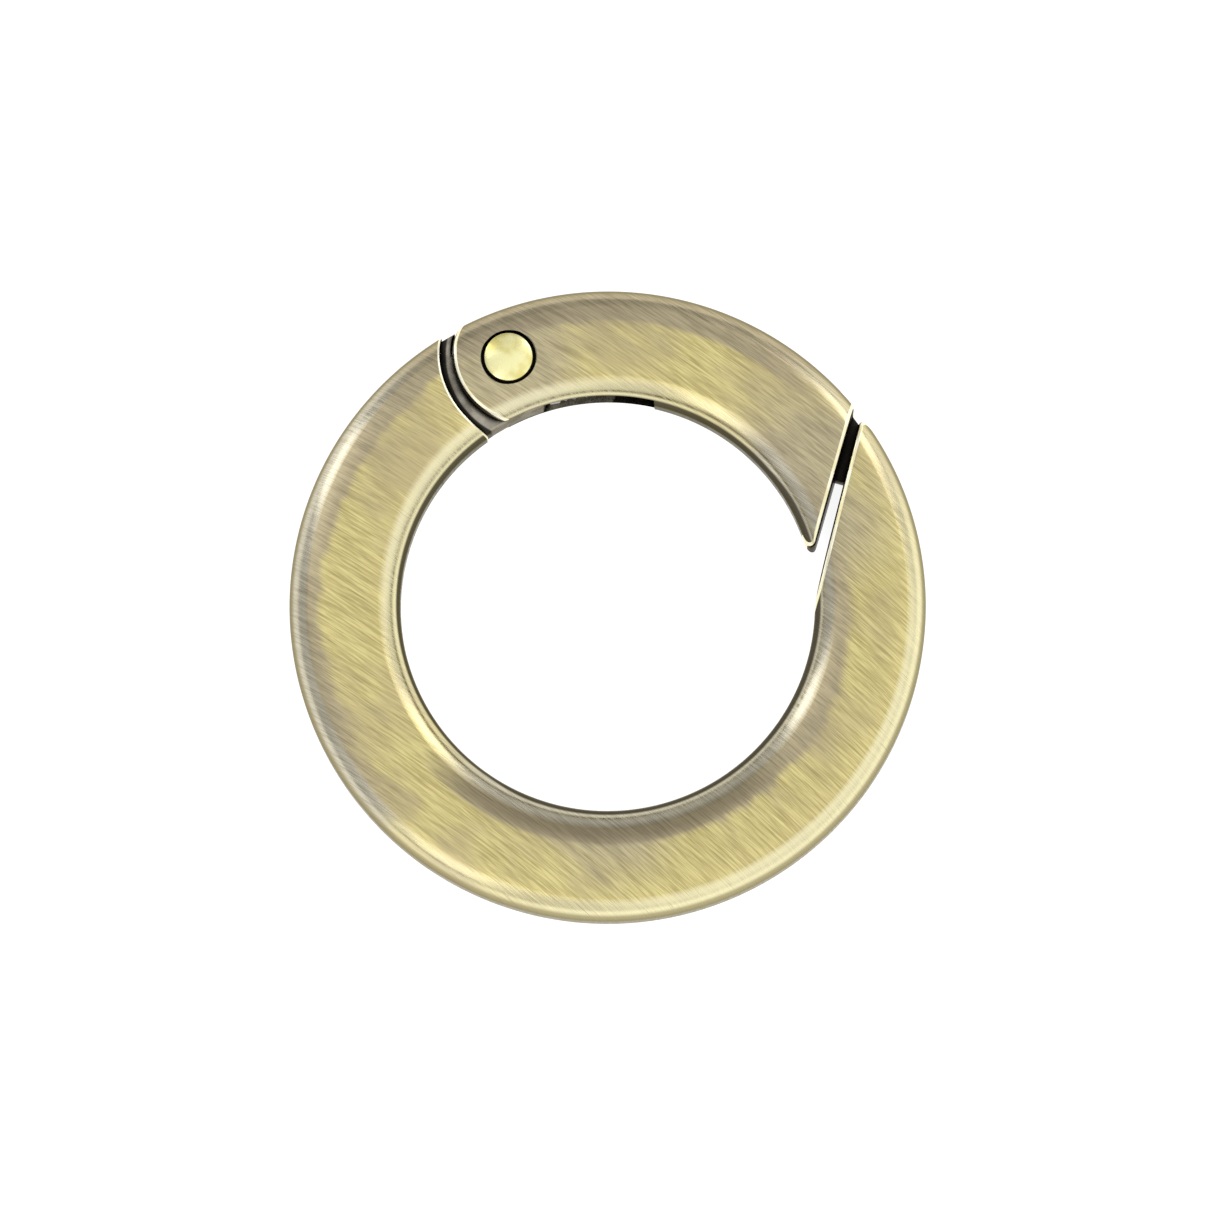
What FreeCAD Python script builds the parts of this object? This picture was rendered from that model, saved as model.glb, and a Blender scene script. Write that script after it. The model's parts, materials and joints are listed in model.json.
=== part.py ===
"""Round spring gate ring: a C-shaped cast ring closed by a gate that swings inwards.

The gate turns on a rivet through a tongue on the ring. A coil spring inside the gate pushes
a small follower pin against the round nose of that tongue, and so keeps the gate shut.

Frame: the ring lies flat on z = 0 with +Z up, its centre at the origin, the gate at +Y and
the latch at +X. Millimetres. Every body is drawn about the ring's mid-plane and then lifted
by half the thickness.
"""

import FreeCAD, Part
import math
import os
import Sketcher

DIMENSIONS = {
    # The ring's plan and its section, which is the same on both faces.
    "ring_outer_radius": 19.2,
    "ring_inner_radius": 12.5,
    "ring_thickness": 5.0,
    "flat_inner_radius": 15.3,
    "flat_outer_radius": 16.7,
    "crown_drop": 0.2,
    "inner_shoulder_width": 1.3,
    "outer_shoulder_width": 1.15,
    "shoulder_drop": 1.7,
    "shoulder_bulge": 0.3,
    # The hinge: its rivet, and the round ends of the ring and the gate.
    "rivet_orbit_radius": 16.04,
    "rivet_angle": 111.8,
    "ring_end_centre_x": -4.43,
    "ring_end_centre_y": 15.26,
    "ring_end_radius": 5.68,
    "gate_end_centre_x": -4.95,
    "gate_end_centre_y": 15.28,
    "gate_end_radius": 4.38,
    "rivet_shank_radius": 1.0,
    "rivet_bore_clearance": 0.05,
    "rivet_head_radius": 1.47,
    "counterbore_radius": 1.65,
    "counterbore_depth": 0.7,
    "rivet_rim_rise": 0.72,
    "rivet_head_rise": 1.0,
    "rivet_tail_rim_rise": 0.45,
    "rivet_tail_rise": 0.6,
    # The tongue at mid-thickness, and the hollow of the gate around it.
    "tongue_thickness": 2.3,
    "tongue_boss_radius": 2.1,
    "tongue_nose_radius": 1.9,
    "tongue_inner_radius": 12.7,
    "tongue_outer_radius": 17.9,
    "tongue_rim_radius": 18.95,
    "tongue_gate_clearance": 0.1,
    "tongue_root_depth": 1.0,
    "gate_slot_height": 2.6,
    "gate_hollow_radius": 3.4,
    "gate_hollow_past_rivet": 30.0,
    "gate_skin_radius": 18.25,
    # The spring line: a straight line inside the gate, nearer the eye than the rivet is.
    "spring_line_angle": 10.0,
    "spring_offset": 2.0,
    "spring_channel_half_width": 1.0,
    "spring_channel_end": 8.2,
    "spring_socket_end": 10.2,
    "spring_socket_radius": 0.95,
    "spring_outer_radius": 0.85,
    "spring_wire_radius": 0.15,
    "spring_turns": 11.0,
    "spring_end_gap": 0.02,
    "follower_gap": 0.05,
    "follower_head_radius": 0.9,
    "follower_head_length": 0.7,
    "follower_stem_radius": 0.45,
    "follower_stem_reach": 8.75,
    "follower_edge": 0.12,
    # The latch: slanted end faces, and a tab on the ring that enters a slot in the gate.
    "gate_slant_angle": 15.9,
    "gate_slant_distance": 11.096,
    "ring_slant_angle": 14.3,
    "ring_slant_distance": 12.038,
    "beak_tip_radius": 0.33,
    "nose_tip_radius": 0.3,
    "latch_tab_thickness": 1.6,
    "latch_tab_reach": 20.3,
    "latch_tab_right": 12.6,
    "latch_tab_bottom": 11.1,
    "latch_tab_outer_radius": 18.75,
    "latch_tab_corner_radius": 0.35,
    "latch_slot_height": 1.9,
    "latch_slot_reach": 20.15,
    "latch_slot_clearance": 0.05,
}

AIR = 12.0  # how far the cutting outlines reach outside the ring
OVERCUT = 0.4  # how far a cutting outline passes the surface that it opens
LEAST_CUT = 0.001  # a feature that takes away less than this volume has missed the body

ORIGIN_POINT = (-1, 1)
START, END, CENTRE = 1, 2, 3
UP = FreeCAD.Vector(0, 0, 1)


# ---------------------------------------------------------------- document and sheet


def make_sheet(doc):
    """The spreadsheet with every driving dimension, one named cell each."""
    sheet = doc.addObject("Spreadsheet::Sheet", "dims")
    for row, (name, value) in enumerate(DIMENSIONS.items(), start=1):
        sheet.set(f"A{row}", name)
        sheet.set(f"B{row}", str(value))
        sheet.setAlias(f"B{row}", name)
    doc.recompute()


def cell(name):
    """How an expression names a cell of the sheet."""
    return f"dims.{name}"


def value_of(expression):
    """What an expression of the sheet's cells comes to, as a plain number."""
    return float(DOC.getObject("dims").evalExpression(str(expression)))


def point_of(point):
    """The place of a point whose two coordinates are expressions."""
    return FreeCAD.Vector(value_of(point[0]), value_of(point[1]), 0)


def polar(radius, angle):
    """The x and y expressions of a point at a radius and an angle about the ring's centre."""
    return f"({radius}) * cos({angle})", f"({radius}) * sin({angle})"


def circles_meet(first, second, side):
    """Where two circles (centre, radius) cross, on the left (+1) or right (-1) of the line of centres."""
    (a, a_radius), (b, b_radius) = first, second
    line = b - a
    along = (line.Length**2 + a_radius**2 - b_radius**2) / (2 * line.Length)
    across = math.sqrt(a_radius**2 - along**2)
    line.normalize()
    return a + line * along + UP.cross(line) * (side * across)


# ---------------------------------------------------------------- sketch helpers


def add_body(doc, name):
    """An empty body, drawn about the mid-plane and lifted to its height."""
    body = doc.addObject("PartDesign::Body", name)
    body.Label = name
    body.setExpression("Placement.Base.z", f"{cell('ring_thickness')} / 2")
    return body


def origin_feature(body, role):
    """The origin plane or axis of a body that has this role."""
    return next(item for item in body.Origin.OriginFeatures if item.Role == role)


def add_sketch(body, name, plane="XY_Plane"):
    """An empty sketch on one of the body's own origin planes."""
    sketch = body.newObject("Sketcher::SketchObject", name)
    sketch.AttachmentSupport = [(origin_feature(body, plane), "")]
    sketch.MapMode = "FlatFace"
    return sketch


def bind(sketch, kind, *where_and_expression):
    """A constraint whose size is bound to an expression of the sheet's cells."""
    *where, expression = where_and_expression
    index = sketch.addConstraint(Sketcher.Constraint(kind, *where, value_of(expression)))
    sketch.setExpression(f"Constraints[{index}]", str(expression))


def hold_point(sketch, edge, end, point):
    """Bind a point of an edge to two coordinates from the sketch's origin."""
    bind(sketch, "DistanceX", *ORIGIN_POINT, edge, end, point[0])
    bind(sketch, "DistanceY", *ORIGIN_POINT, edge, end, point[1])


def add_circle(sketch, centre, radius):
    """A whole circle with its centre and radius bound to the sheet."""
    edge = sketch.addGeometry(Part.Circle(point_of(centre), UP, value_of(radius)), False)
    hold_point(sketch, edge, CENTRE, centre)
    bind(sketch, "Radius", edge, radius)


def arc_about(centre, begin, finish, clockwise):
    """An arc about a centre from one point to another, and which of its ends comes first."""
    first, last = (finish, begin) if clockwise else (begin, finish)
    from_angle = math.atan2(first.y - centre.y, first.x - centre.x)
    to_angle = math.atan2(last.y - centre.y, last.x - centre.x)
    circle = Part.Circle(centre, UP, (begin - centre).Length)
    return Part.ArcOfCircle(circle, from_angle, to_angle), (END, START) if clockwise else (START, END)


def add_outline(sketch, edges):
    """A closed outline of ("line", start) and ("arc", start, centre, clockwise) edges, each
    ending where the next begins. Returns, for each edge, its number, first end and last end."""
    drawn = []
    for index, edge in enumerate(edges):
        begin, finish = edge[1], edges[(index + 1) % len(edges)][1]
        if edge[0] == "line":
            shape, ends = Part.LineSegment(begin, finish), (START, END)
        else:
            shape, ends = arc_about(edge[2], begin, finish, edge[3])
        drawn.append((sketch.addGeometry(shape, False), *ends))
    for (edge, _, last), (following, first, _) in zip(drawn, drawn[1:] + drawn[:1]):
        sketch.addConstraint(Sketcher.Constraint("Coincident", edge, last, following, first))
    return drawn


def add_feature(body, kind, name, sketch, **settings):
    """A feature made from a sketch. A setting that is a string of cells is bound to them."""
    feature = body.newObject(f"PartDesign::{kind}", name)
    feature.Profile = sketch
    for setting, value in settings.items():
        if isinstance(value, str) and "dims." in value:
            feature.setExpression(setting, value)
        else:
            setattr(feature, setting, value)
    body.Tip = feature
    DOC.recompute()
    return feature


def cut(body, kind, name, sketch, **settings):
    """A feature that takes material away, and a check that it did."""
    before = body.Shape.Volume
    add_feature(body, kind, name, sketch, **settings)
    if body.Shape.Volume > before - LEAST_CUT:
        raise RuntimeError(f"{name} cuts nothing")


# ---------------------------------------------------------------- shared shapes


def crown_radius(width):
    """The radius of a crown arc: it is level where it leaves the flat, and drops over its width."""
    drop = cell("crown_drop")
    return f"(({width})^2 + {drop}^2) / (2 * {drop})"


def shoulder_radius(width):
    """The radius of a shoulder arc: it bulges outwards at the middle of its chord."""
    drop, bulge = cell("shoulder_drop"), cell("shoulder_bulge")
    return f"(({width})^2 + {drop}^2) / (8 * {bulge}) + {bulge} / 2"


def section_corners():
    """The ring's section, anticlockwise from the bottom of the inner wall: for each corner its
    radius, its height from the mid-plane, and the radius of the edge that leaves it, if an arc."""
    inner, outer = cell("ring_inner_radius"), cell("ring_outer_radius")
    flat_in, flat_out = cell("flat_inner_radius"), cell("flat_outer_radius")
    crown_in = f"{inner} + {cell('inner_shoulder_width')}"
    crown_out = f"{outer} - {cell('outer_shoulder_width')}"
    top = f"{cell('ring_thickness')} / 2"
    edge = f"{top} - {cell('crown_drop')}"
    wall = f"{edge} - {cell('shoulder_drop')}"
    outer_shoulder = shoulder_radius(cell("outer_shoulder_width"))
    inner_shoulder = shoulder_radius(cell("inner_shoulder_width"))
    outer_crown = crown_radius(f"{crown_out} - {flat_out}")
    inner_crown = crown_radius(f"{flat_in} - ({crown_in})")
    upper = [
        (outer, wall, outer_shoulder),
        (crown_out, edge, outer_crown),
        (flat_out, top, None),
        (flat_in, top, inner_crown),
        (crown_in, edge, inner_shoulder),
        (inner, wall, None),
    ]
    leaving = [inner_shoulder, inner_crown, None, outer_crown, outer_shoulder, None]
    lower = [(radius, f"-({height})") for radius, height, _ in reversed(upper)]
    return [(*corner, arc_radius) for corner, arc_radius in zip(lower, leaving)] + upper


def section_arc_centre(begin, finish, radius):
    """The centre of an arc of the section, which runs anticlockwise."""
    chord = finish - begin
    reach = math.sqrt(radius**2 - (chord.Length / 2) ** 2)
    middle = (begin + finish) * 0.5
    chord.normalize()
    return middle + UP.cross(chord) * reach


def revolve_ring(body):
    """The whole ring, before anything is cut from it."""
    sketch = add_sketch(body, f"{body.Name}_section", "XZ_Plane")
    corners = section_corners()
    places = [point_of(corner) for corner in corners]
    edges = []
    for index, (place, (_, _, arc_radius)) in enumerate(zip(places, corners)):
        if arc_radius is None:
            edges.append(("line", place))
        else:
            following = places[(index + 1) % len(places)]
            centre = section_arc_centre(place, following, value_of(arc_radius))
            edges.append(("arc", place, centre, False))
    drawn = add_outline(sketch, edges)
    for (edge, first, _), corner in zip(drawn, corners):
        hold_point(sketch, edge, first, corner)
    for (edge, _, _), (_, _, arc_radius) in zip(drawn, corners):
        if arc_radius is not None:
            bind(sketch, "Radius", edge, arc_radius)
    axis = (sketch, ["V_Axis"])
    add_feature(body, "Revolution", f"{body.Name}_ring", sketch, ReferenceAxis=axis, Angle=360)


def slant_point(angle, distance, along):
    """A point of a slanted end face: its distance from the centre, and how far along it lies."""
    across_x, across_y = f"({distance}) * cos({angle})", f"-({distance}) * sin({angle})"
    return f"{across_x} + ({along}) * sin({angle})", f"{across_y} + ({along}) * cos({angle})"


def tip_round(angle, distance, rim_radius, tip_radius):
    """The round tip between a slanted end face and the ring's rim. Signed tip_radius: + for the
    ring's nose inside the outer rim, - for the gate's beak outside the inner rim.
    Returns the round's centre, where it leaves the face, and where it meets the rim."""
    centre_distance = distance + tip_radius
    centre_along = math.sqrt((rim_radius - tip_radius) ** 2 - centre_distance**2)
    across = FreeCAD.Vector(math.cos(angle), -math.sin(angle), 0)
    along = FreeCAD.Vector(math.sin(angle), math.cos(angle), 0)
    centre = across * centre_distance + along * centre_along
    return centre, across * distance + along * centre_along, centre * (rim_radius / centre.Length)


def rivet_point():
    """The rivet's centre, as expressions."""
    return polar(cell("rivet_orbit_radius"), cell("rivet_angle"))


def spring_point():
    """The foot of the perpendicular from the rivet to the spring line, as expressions."""
    rivet_x, rivet_y = rivet_point()
    offset, angle = cell("spring_offset"), cell("spring_line_angle")
    return f"{rivet_x} + {offset} * sin({angle})", f"{rivet_y} - {offset} * cos({angle})"


def circle_of(centre, radius):
    """A circle as numbers, from expressions."""
    return point_of(centre), value_of(radius)


RING_CENTRE = ("0", "0")


# ---------------------------------------------------------------- ring body


def cut_gate_opening(body):
    """Take away the stretch of ring that the gate fills, with the gaps at its two ends."""
    sketch = add_sketch(body, "gate_opening_plan")
    inner = value_of(cell("ring_inner_radius"))
    outer = value_of(cell("ring_outer_radius"))
    end_centre = (cell("ring_end_centre_x"), cell("ring_end_centre_y"))
    end_circle = circle_of(end_centre, cell("ring_end_radius"))
    eye_point = circles_meet((FreeCAD.Vector(), inner - OVERCUT), end_circle, 1)
    air_point = circles_meet((FreeCAD.Vector(), outer + OVERCUT), end_circle, 1)
    angle = math.radians(value_of(cell("ring_slant_angle")))
    distance = value_of(cell("ring_slant_distance"))
    round_centre, leaves_face, meets_rim = tip_round(
        angle, distance, outer, value_of(cell("nose_tip_radius"))
    )
    face_end = point_of(slant_point(cell("ring_slant_angle"), cell("ring_slant_distance"), "0"))
    beyond_rim = meets_rim * ((outer + AIR) / outer)
    drawn = add_outline(
        sketch,
        [
            ("arc", eye_point, end_circle[0], True),
            ("line", air_point),
            ("line", FreeCAD.Vector(air_point.x, outer + AIR, 0)),
            ("line", beyond_rim),
            ("arc", meets_rim, round_centre, False),
            ("line", leaves_face),
            ("line", face_end),
        ],
    )
    hinge_arc, tip_arc, face = drawn[0][0], drawn[4][0], drawn[5][0]
    hold_point(sketch, hinge_arc, CENTRE, end_centre)
    bind(sketch, "Radius", hinge_arc, cell("ring_end_radius"))
    bind(sketch, "Radius", tip_arc, cell("nose_tip_radius"))
    bind(sketch, "Distance", *ORIGIN_POINT, face, cell("ring_slant_distance"))
    cut(body, "Pocket", "gate_opening", sketch, Type="ThroughAll", SideType="Symmetric")


def add_tongue(body):
    """The flat tongue that carries the rivet: a boss about the rivet, the round nose that the
    follower bears on, and the web that joins both to the ring. The web is wider outside the
    gate, where it fills the gap at the hinge nearly to the outer rim."""
    sketch = add_sketch(body, "tongue_plan")
    rivet, nose = rivet_point(), spring_point()
    boss_circle = circle_of(rivet, cell("tongue_boss_radius"))
    nose_circle = circle_of(nose, cell("tongue_nose_radius"))
    inner_rim = circle_of(RING_CENTRE, cell("tongue_inner_radius"))
    outer_rim = circle_of(RING_CENTRE, cell("tongue_outer_radius"))
    web_rim = circle_of(RING_CENTRE, cell("tongue_rim_radius"))
    gate_end_centre = (cell("gate_end_centre_x"), cell("gate_end_centre_y"))
    clear_expression = f"{cell('gate_end_radius')} + {cell('tongue_gate_clearance')}"
    clear_circle = circle_of(gate_end_centre, clear_expression)
    end_centre = (cell("ring_end_centre_x"), cell("ring_end_centre_y"))
    root_circle = circle_of(end_centre, f"{cell('ring_end_radius')} + {cell('tongue_root_depth')}")
    drawn = add_outline(
        sketch,
        [
            ("arc", circles_meet(nose_circle, inner_rim, 1), nose_circle[0], False),
            ("arc", circles_meet(nose_circle, boss_circle, -1), boss_circle[0], False),
            ("arc", circles_meet(boss_circle, outer_rim, 1), outer_rim[0], False),
            ("arc", circles_meet(outer_rim, clear_circle, 1), clear_circle[0], True),
            ("arc", circles_meet(web_rim, clear_circle, 1), web_rim[0], False),
            ("line", circles_meet(web_rim, root_circle, 1)),
            ("arc", circles_meet(inner_rim, root_circle, 1), inner_rim[0], True),
        ],
    )
    nose_arc, boss_arc, outer_arc, clear_arc, web_arc, _, inner_arc = (edge for edge, _, _ in drawn)
    hold_point(sketch, nose_arc, CENTRE, nose)
    hold_point(sketch, boss_arc, CENTRE, rivet)
    bind(sketch, "Radius", nose_arc, cell("tongue_nose_radius"))
    bind(sketch, "Radius", boss_arc, cell("tongue_boss_radius"))
    hold_point(sketch, clear_arc, CENTRE, gate_end_centre)
    bind(sketch, "Radius", clear_arc, clear_expression)
    rims = (
        (outer_arc, "tongue_outer_radius"),
        (web_arc, "tongue_rim_radius"),
        (inner_arc, "tongue_inner_radius"),
    )
    for rim_arc, radius in rims:
        sketch.addConstraint(Sketcher.Constraint("Coincident", rim_arc, CENTRE, *ORIGIN_POINT))
        bind(sketch, "Radius", rim_arc, cell(radius))
    add_feature(body, "Pad", "tongue", sketch, SideType="Symmetric", Length=cell("tongue_thickness"))

    bore = add_sketch(body, "tongue_bore_plan")
    add_circle(bore, rivet, f"{cell('rivet_shank_radius')} + {cell('rivet_bore_clearance')}")
    length = f"{cell('tongue_thickness')} * 2"
    cut(body, "Pocket", "tongue_bore", bore, SideType="Symmetric", Length=length)


def latch_sketch(body, name):
    """A sketch turned so that its Y axis runs up the gate's slanted end face."""
    sketch = add_sketch(body, name)
    sketch.setExpression("AttachmentOffset.Rotation.Angle", f"-{cell('gate_slant_angle')}")
    return sketch


def rivet_in_latch_frame():
    """The rivet's centre as expressions in a latch sketch."""
    angle = f"{cell('rivet_angle')} + {cell('gate_slant_angle')}"
    return polar(cell("rivet_orbit_radius"), angle)


def add_latch_tab(body):
    """The flat tab on the ring's nose that the gate closes against. Its side towards the gate is
    an arc about the rivet, so that it leaves the gate's slot without touching its floor."""
    sketch = latch_sketch(body, "latch_tab_plan")
    rivet = point_of(rivet_in_latch_frame())
    right, bottom = value_of(cell("latch_tab_right")), value_of(cell("latch_tab_bottom"))
    reach, corner = value_of(cell("latch_tab_reach")), value_of(cell("latch_tab_corner_radius"))
    rim = (FreeCAD.Vector(), value_of(cell("latch_tab_outer_radius")))
    corner_rise = bottom + corner - rivet.y
    corner_along = math.sqrt((reach + corner) ** 2 - corner_rise**2)
    corner_centre = rivet + FreeCAD.Vector(corner_along, corner_rise, 0)
    side_end = rivet + (corner_centre - rivet) * (reach / (reach + corner))
    drawn = add_outline(
        sketch,
        [
            ("line", FreeCAD.Vector(corner_centre.x, bottom, 0)),
            ("line", FreeCAD.Vector(right, bottom, 0)),
            ("arc", FreeCAD.Vector(right, math.sqrt(rim[1] ** 2 - right**2), 0), rim[0], False),
            ("arc", circles_meet((rivet, reach), rim, 1), rivet, True),
            ("arc", side_end, corner_centre, False),
        ],
    )
    lower, root, rim_arc, side, corner_arc = (edge for edge, _, _ in drawn)
    hold_point(sketch, lower, END, (cell("latch_tab_right"), cell("latch_tab_bottom")))
    hold_point(sketch, side, CENTRE, rivet_in_latch_frame())
    bind(sketch, "Radius", rim_arc, cell("latch_tab_outer_radius"))
    bind(sketch, "Radius", side, cell("latch_tab_reach"))
    bind(sketch, "Radius", corner_arc, cell("latch_tab_corner_radius"))
    sketch.addConstraint(Sketcher.Constraint("Horizontal", lower))
    sketch.addConstraint(Sketcher.Constraint("Vertical", root))
    sketch.addConstraint(Sketcher.Constraint("Coincident", rim_arc, CENTRE, *ORIGIN_POINT))
    thickness = cell("latch_tab_thickness")
    add_feature(body, "Pad", "latch_tab", sketch, SideType="Symmetric", Length=thickness)


def make_ring_body(doc):
    body = add_body(doc, "ring_body")
    revolve_ring(body)
    cut_gate_opening(body)
    add_tongue(body)
    add_latch_tab(body)
    return body


# ---------------------------------------------------------------- gate


def cut_gate_outline(body):
    """Leave only the stretch of ring between the gate's round hinge end and its beak."""
    sketch = add_sketch(body, "gate_plan")
    inner = value_of(cell("ring_inner_radius"))
    outer = value_of(cell("ring_outer_radius"))
    end_centre = (cell("gate_end_centre_x"), cell("gate_end_centre_y"))
    end_circle = circle_of(end_centre, cell("gate_end_radius"))
    eye_point = circles_meet((FreeCAD.Vector(), inner - OVERCUT), end_circle, 1)
    air_point = circles_meet((FreeCAD.Vector(), outer + OVERCUT), end_circle, 1)
    angle = math.radians(value_of(cell("gate_slant_angle")))
    distance = value_of(cell("gate_slant_distance"))
    round_centre, leaves_face, meets_rim = tip_round(
        angle, distance, inner, -value_of(cell("beak_tip_radius"))
    )
    along = f"{cell('ring_outer_radius')} + {AIR / 2}"
    beyond_face = point_of(
        slant_point(cell("gate_slant_angle"), cell("gate_slant_distance"), along)
    )
    add_circle(sketch, RING_CENTRE, f"{cell('ring_outer_radius')} + {AIR}")
    drawn = add_outline(
        sketch,
        [
            ("arc", eye_point, end_circle[0], True),
            ("line", air_point),
            ("line", FreeCAD.Vector(air_point.x, outer + AIR / 2, 0)),
            ("line", beyond_face),
            ("arc", leaves_face, round_centre, True),
            ("line", meets_rim),
            ("line", meets_rim * ((inner - OVERCUT) / inner)),
        ],
    )
    hinge_arc, face, tip_arc = drawn[0][0], drawn[3][0], drawn[4][0]
    hold_point(sketch, hinge_arc, CENTRE, end_centre)
    bind(sketch, "Radius", hinge_arc, cell("gate_end_radius"))
    bind(sketch, "Radius", tip_arc, cell("beak_tip_radius"))
    bind(sketch, "Distance", *ORIGIN_POINT, face, cell("gate_slant_distance"))
    cut(body, "Pocket", "gate_outline", sketch, Type="ThroughAll", SideType="Symmetric")


def spring_sketch(body, name):
    """A sketch whose X axis is the spring line, from the foot of the rivet's perpendicular."""
    sketch = add_sketch(body, name)
    foot_x, foot_y = spring_point()
    sketch.setExpression("AttachmentOffset.Base.x", foot_x)
    sketch.setExpression("AttachmentOffset.Base.y", foot_y)
    sketch.setExpression("AttachmentOffset.Rotation.Angle", cell("spring_line_angle"))
    return sketch


def into_spring_frame(point):
    """A point of the ring's plan, as seen in a spring sketch."""
    turned = FreeCAD.Rotation(UP, -value_of(cell("spring_line_angle")))
    return turned.multVec(point - point_of(spring_point()))


def cut_gate_hollow(body):
    """The slot at mid-thickness, open to the eye: it takes the tongue as the gate swings, then
    narrows to the channel of the spring."""
    sketch = spring_sketch(body, "gate_hollow_plan")
    rivet = (FreeCAD.Vector(0, value_of(cell("spring_offset")), 0), value_of(cell("gate_hollow_radius")))
    centre = into_spring_frame(FreeCAD.Vector())
    skin = (centre, value_of(cell("gate_skin_radius")))
    half_width = value_of(cell("spring_channel_half_width"))
    channel_end = value_of(cell("spring_channel_end"))
    depth = value_of(cell("ring_outer_radius")) / 2
    chamber_foot = math.sqrt(rivet[1] ** 2 - (rivet[0].y - half_width) ** 2)
    mouth_angle = f"{cell('rivet_angle')} + {cell('gate_hollow_past_rivet')}"
    air_point = into_spring_frame(point_of(polar(cell("gate_skin_radius"), mouth_angle)))
    drawn = add_outline(
        sketch,
        [
            ("line", FreeCAD.Vector(channel_end, -depth, 0)),
            ("line", FreeCAD.Vector(channel_end, half_width, 0)),
            ("arc", FreeCAD.Vector(chamber_foot, half_width, 0), rivet[0], False),
            ("arc", circles_meet(rivet, skin, 1), centre, False),
            ("line", air_point),
            ("line", FreeCAD.Vector(air_point.x, -depth, 0)),
        ],
    )
    end_wall, channel, chamber, skin_arc = (drawn[index][0] for index in range(4))
    hold_point(sketch, end_wall, END, (cell("spring_channel_end"), cell("spring_channel_half_width")))
    sketch.addConstraint(Sketcher.Constraint("Vertical", end_wall))
    sketch.addConstraint(Sketcher.Constraint("Horizontal", channel))
    bind(sketch, "DistanceY", *ORIGIN_POINT, chamber, CENTRE, cell("spring_offset"))
    bind(sketch, "Radius", chamber, cell("gate_hollow_radius"))
    bind(sketch, "Radius", skin_arc, cell("gate_skin_radius"))
    cut(body, "Pocket", "gate_hollow", sketch, SideType="Symmetric", Length=cell("gate_slot_height"))


def cut_spring_socket(body):
    """The blind round hole past the channel's end that holds the far end of the spring."""
    sketch = spring_sketch(body, "spring_socket_plan")
    near = value_of(cell("spring_channel_end")) - OVERCUT
    far, radius = value_of(cell("spring_socket_end")), value_of(cell("spring_socket_radius"))
    drawn = add_outline(
        sketch,
        [
            ("line", FreeCAD.Vector(near, 0, 0)),
            ("line", FreeCAD.Vector(far, 0, 0)),
            ("line", FreeCAD.Vector(far, radius, 0)),
            ("line", FreeCAD.Vector(near, radius, 0)),
        ],
    )
    bind(sketch, "DistanceX", *ORIGIN_POINT, drawn[1][0], END, cell("spring_socket_end"))
    bind(sketch, "DistanceY", *ORIGIN_POINT, drawn[1][0], END, cell("spring_socket_radius"))
    cut(body, "Groove", "spring_socket", sketch, ReferenceAxis=(sketch, ["H_Axis"]), Angle=360)


def cut_rivet_holes(body):
    """The rivet's bore through both ears, and a counterbore for its head and for its tail."""
    bore = add_sketch(body, "ear_bore_plan")
    add_circle(bore, rivet_point(), cell("rivet_shank_radius"))
    cut(body, "Pocket", "ear_bore", bore, Type="ThroughAll", SideType="Symmetric")
    for name, side in (("head_counterbore", 1), ("tail_counterbore", -1)):
        sketch = add_sketch(body, f"{name}_plan")
        sketch.setExpression("AttachmentOffset.Base.z", f"{side} * {cell('ring_thickness')} / 2")
        add_circle(sketch, rivet_point(), cell("counterbore_radius"))
        cut(body, "Pocket", name, sketch, Length=cell("counterbore_depth"), Reversed=side < 0)


def cut_latch_slot(body):
    """The slot in the gate's slanted end, open to the outer rim, that the tab sits in."""
    sketch = latch_sketch(body, "latch_slot_plan")
    rivet = point_of(rivet_in_latch_frame())
    reach, right = value_of(cell("latch_slot_reach")), value_of(cell("latch_tab_right"))
    bottom_expression = f"{cell('latch_tab_bottom')} - {cell('latch_slot_clearance')}"
    bottom, top = value_of(bottom_expression), value_of(cell("ring_outer_radius"))

    def floor_point(along):
        return FreeCAD.Vector(rivet.x + math.sqrt(reach**2 - (along - rivet.y) ** 2), along, 0)

    drawn = add_outline(
        sketch,
        [
            ("line", floor_point(bottom)),
            ("line", FreeCAD.Vector(right, bottom, 0)),
            ("line", FreeCAD.Vector(right, top, 0)),
            ("arc", floor_point(top), rivet, True),
        ],
    )
    end_wall, floor = drawn[0][0], drawn[3][0]
    bind(sketch, "DistanceY", *ORIGIN_POINT, end_wall, END, bottom_expression)
    sketch.addConstraint(Sketcher.Constraint("Horizontal", end_wall))
    hold_point(sketch, floor, CENTRE, rivet_in_latch_frame())
    bind(sketch, "Radius", floor, cell("latch_slot_reach"))
    cut(body, "Pocket", "latch_slot", sketch, SideType="Symmetric", Length=cell("latch_slot_height"))


def make_gate(doc):
    body = add_body(doc, "gate")
    revolve_ring(body)
    cut_gate_outline(body)
    cut_gate_hollow(body)
    cut_spring_socket(body)
    cut_rivet_holes(body)
    cut_latch_slot(body)
    return body


# ---------------------------------------------------------------- rivet, follower and spring


def dome_centre(rim, crown):
    """The centre of the arc that rises from a rim to a crown on the axis, both level there."""
    width, rise = rim.x, crown.y - rim.y
    radius = (width**2 + rise**2) / (2 * abs(rise))
    return FreeCAD.Vector(0, crown.y - math.copysign(radius, rise), 0)


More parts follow.
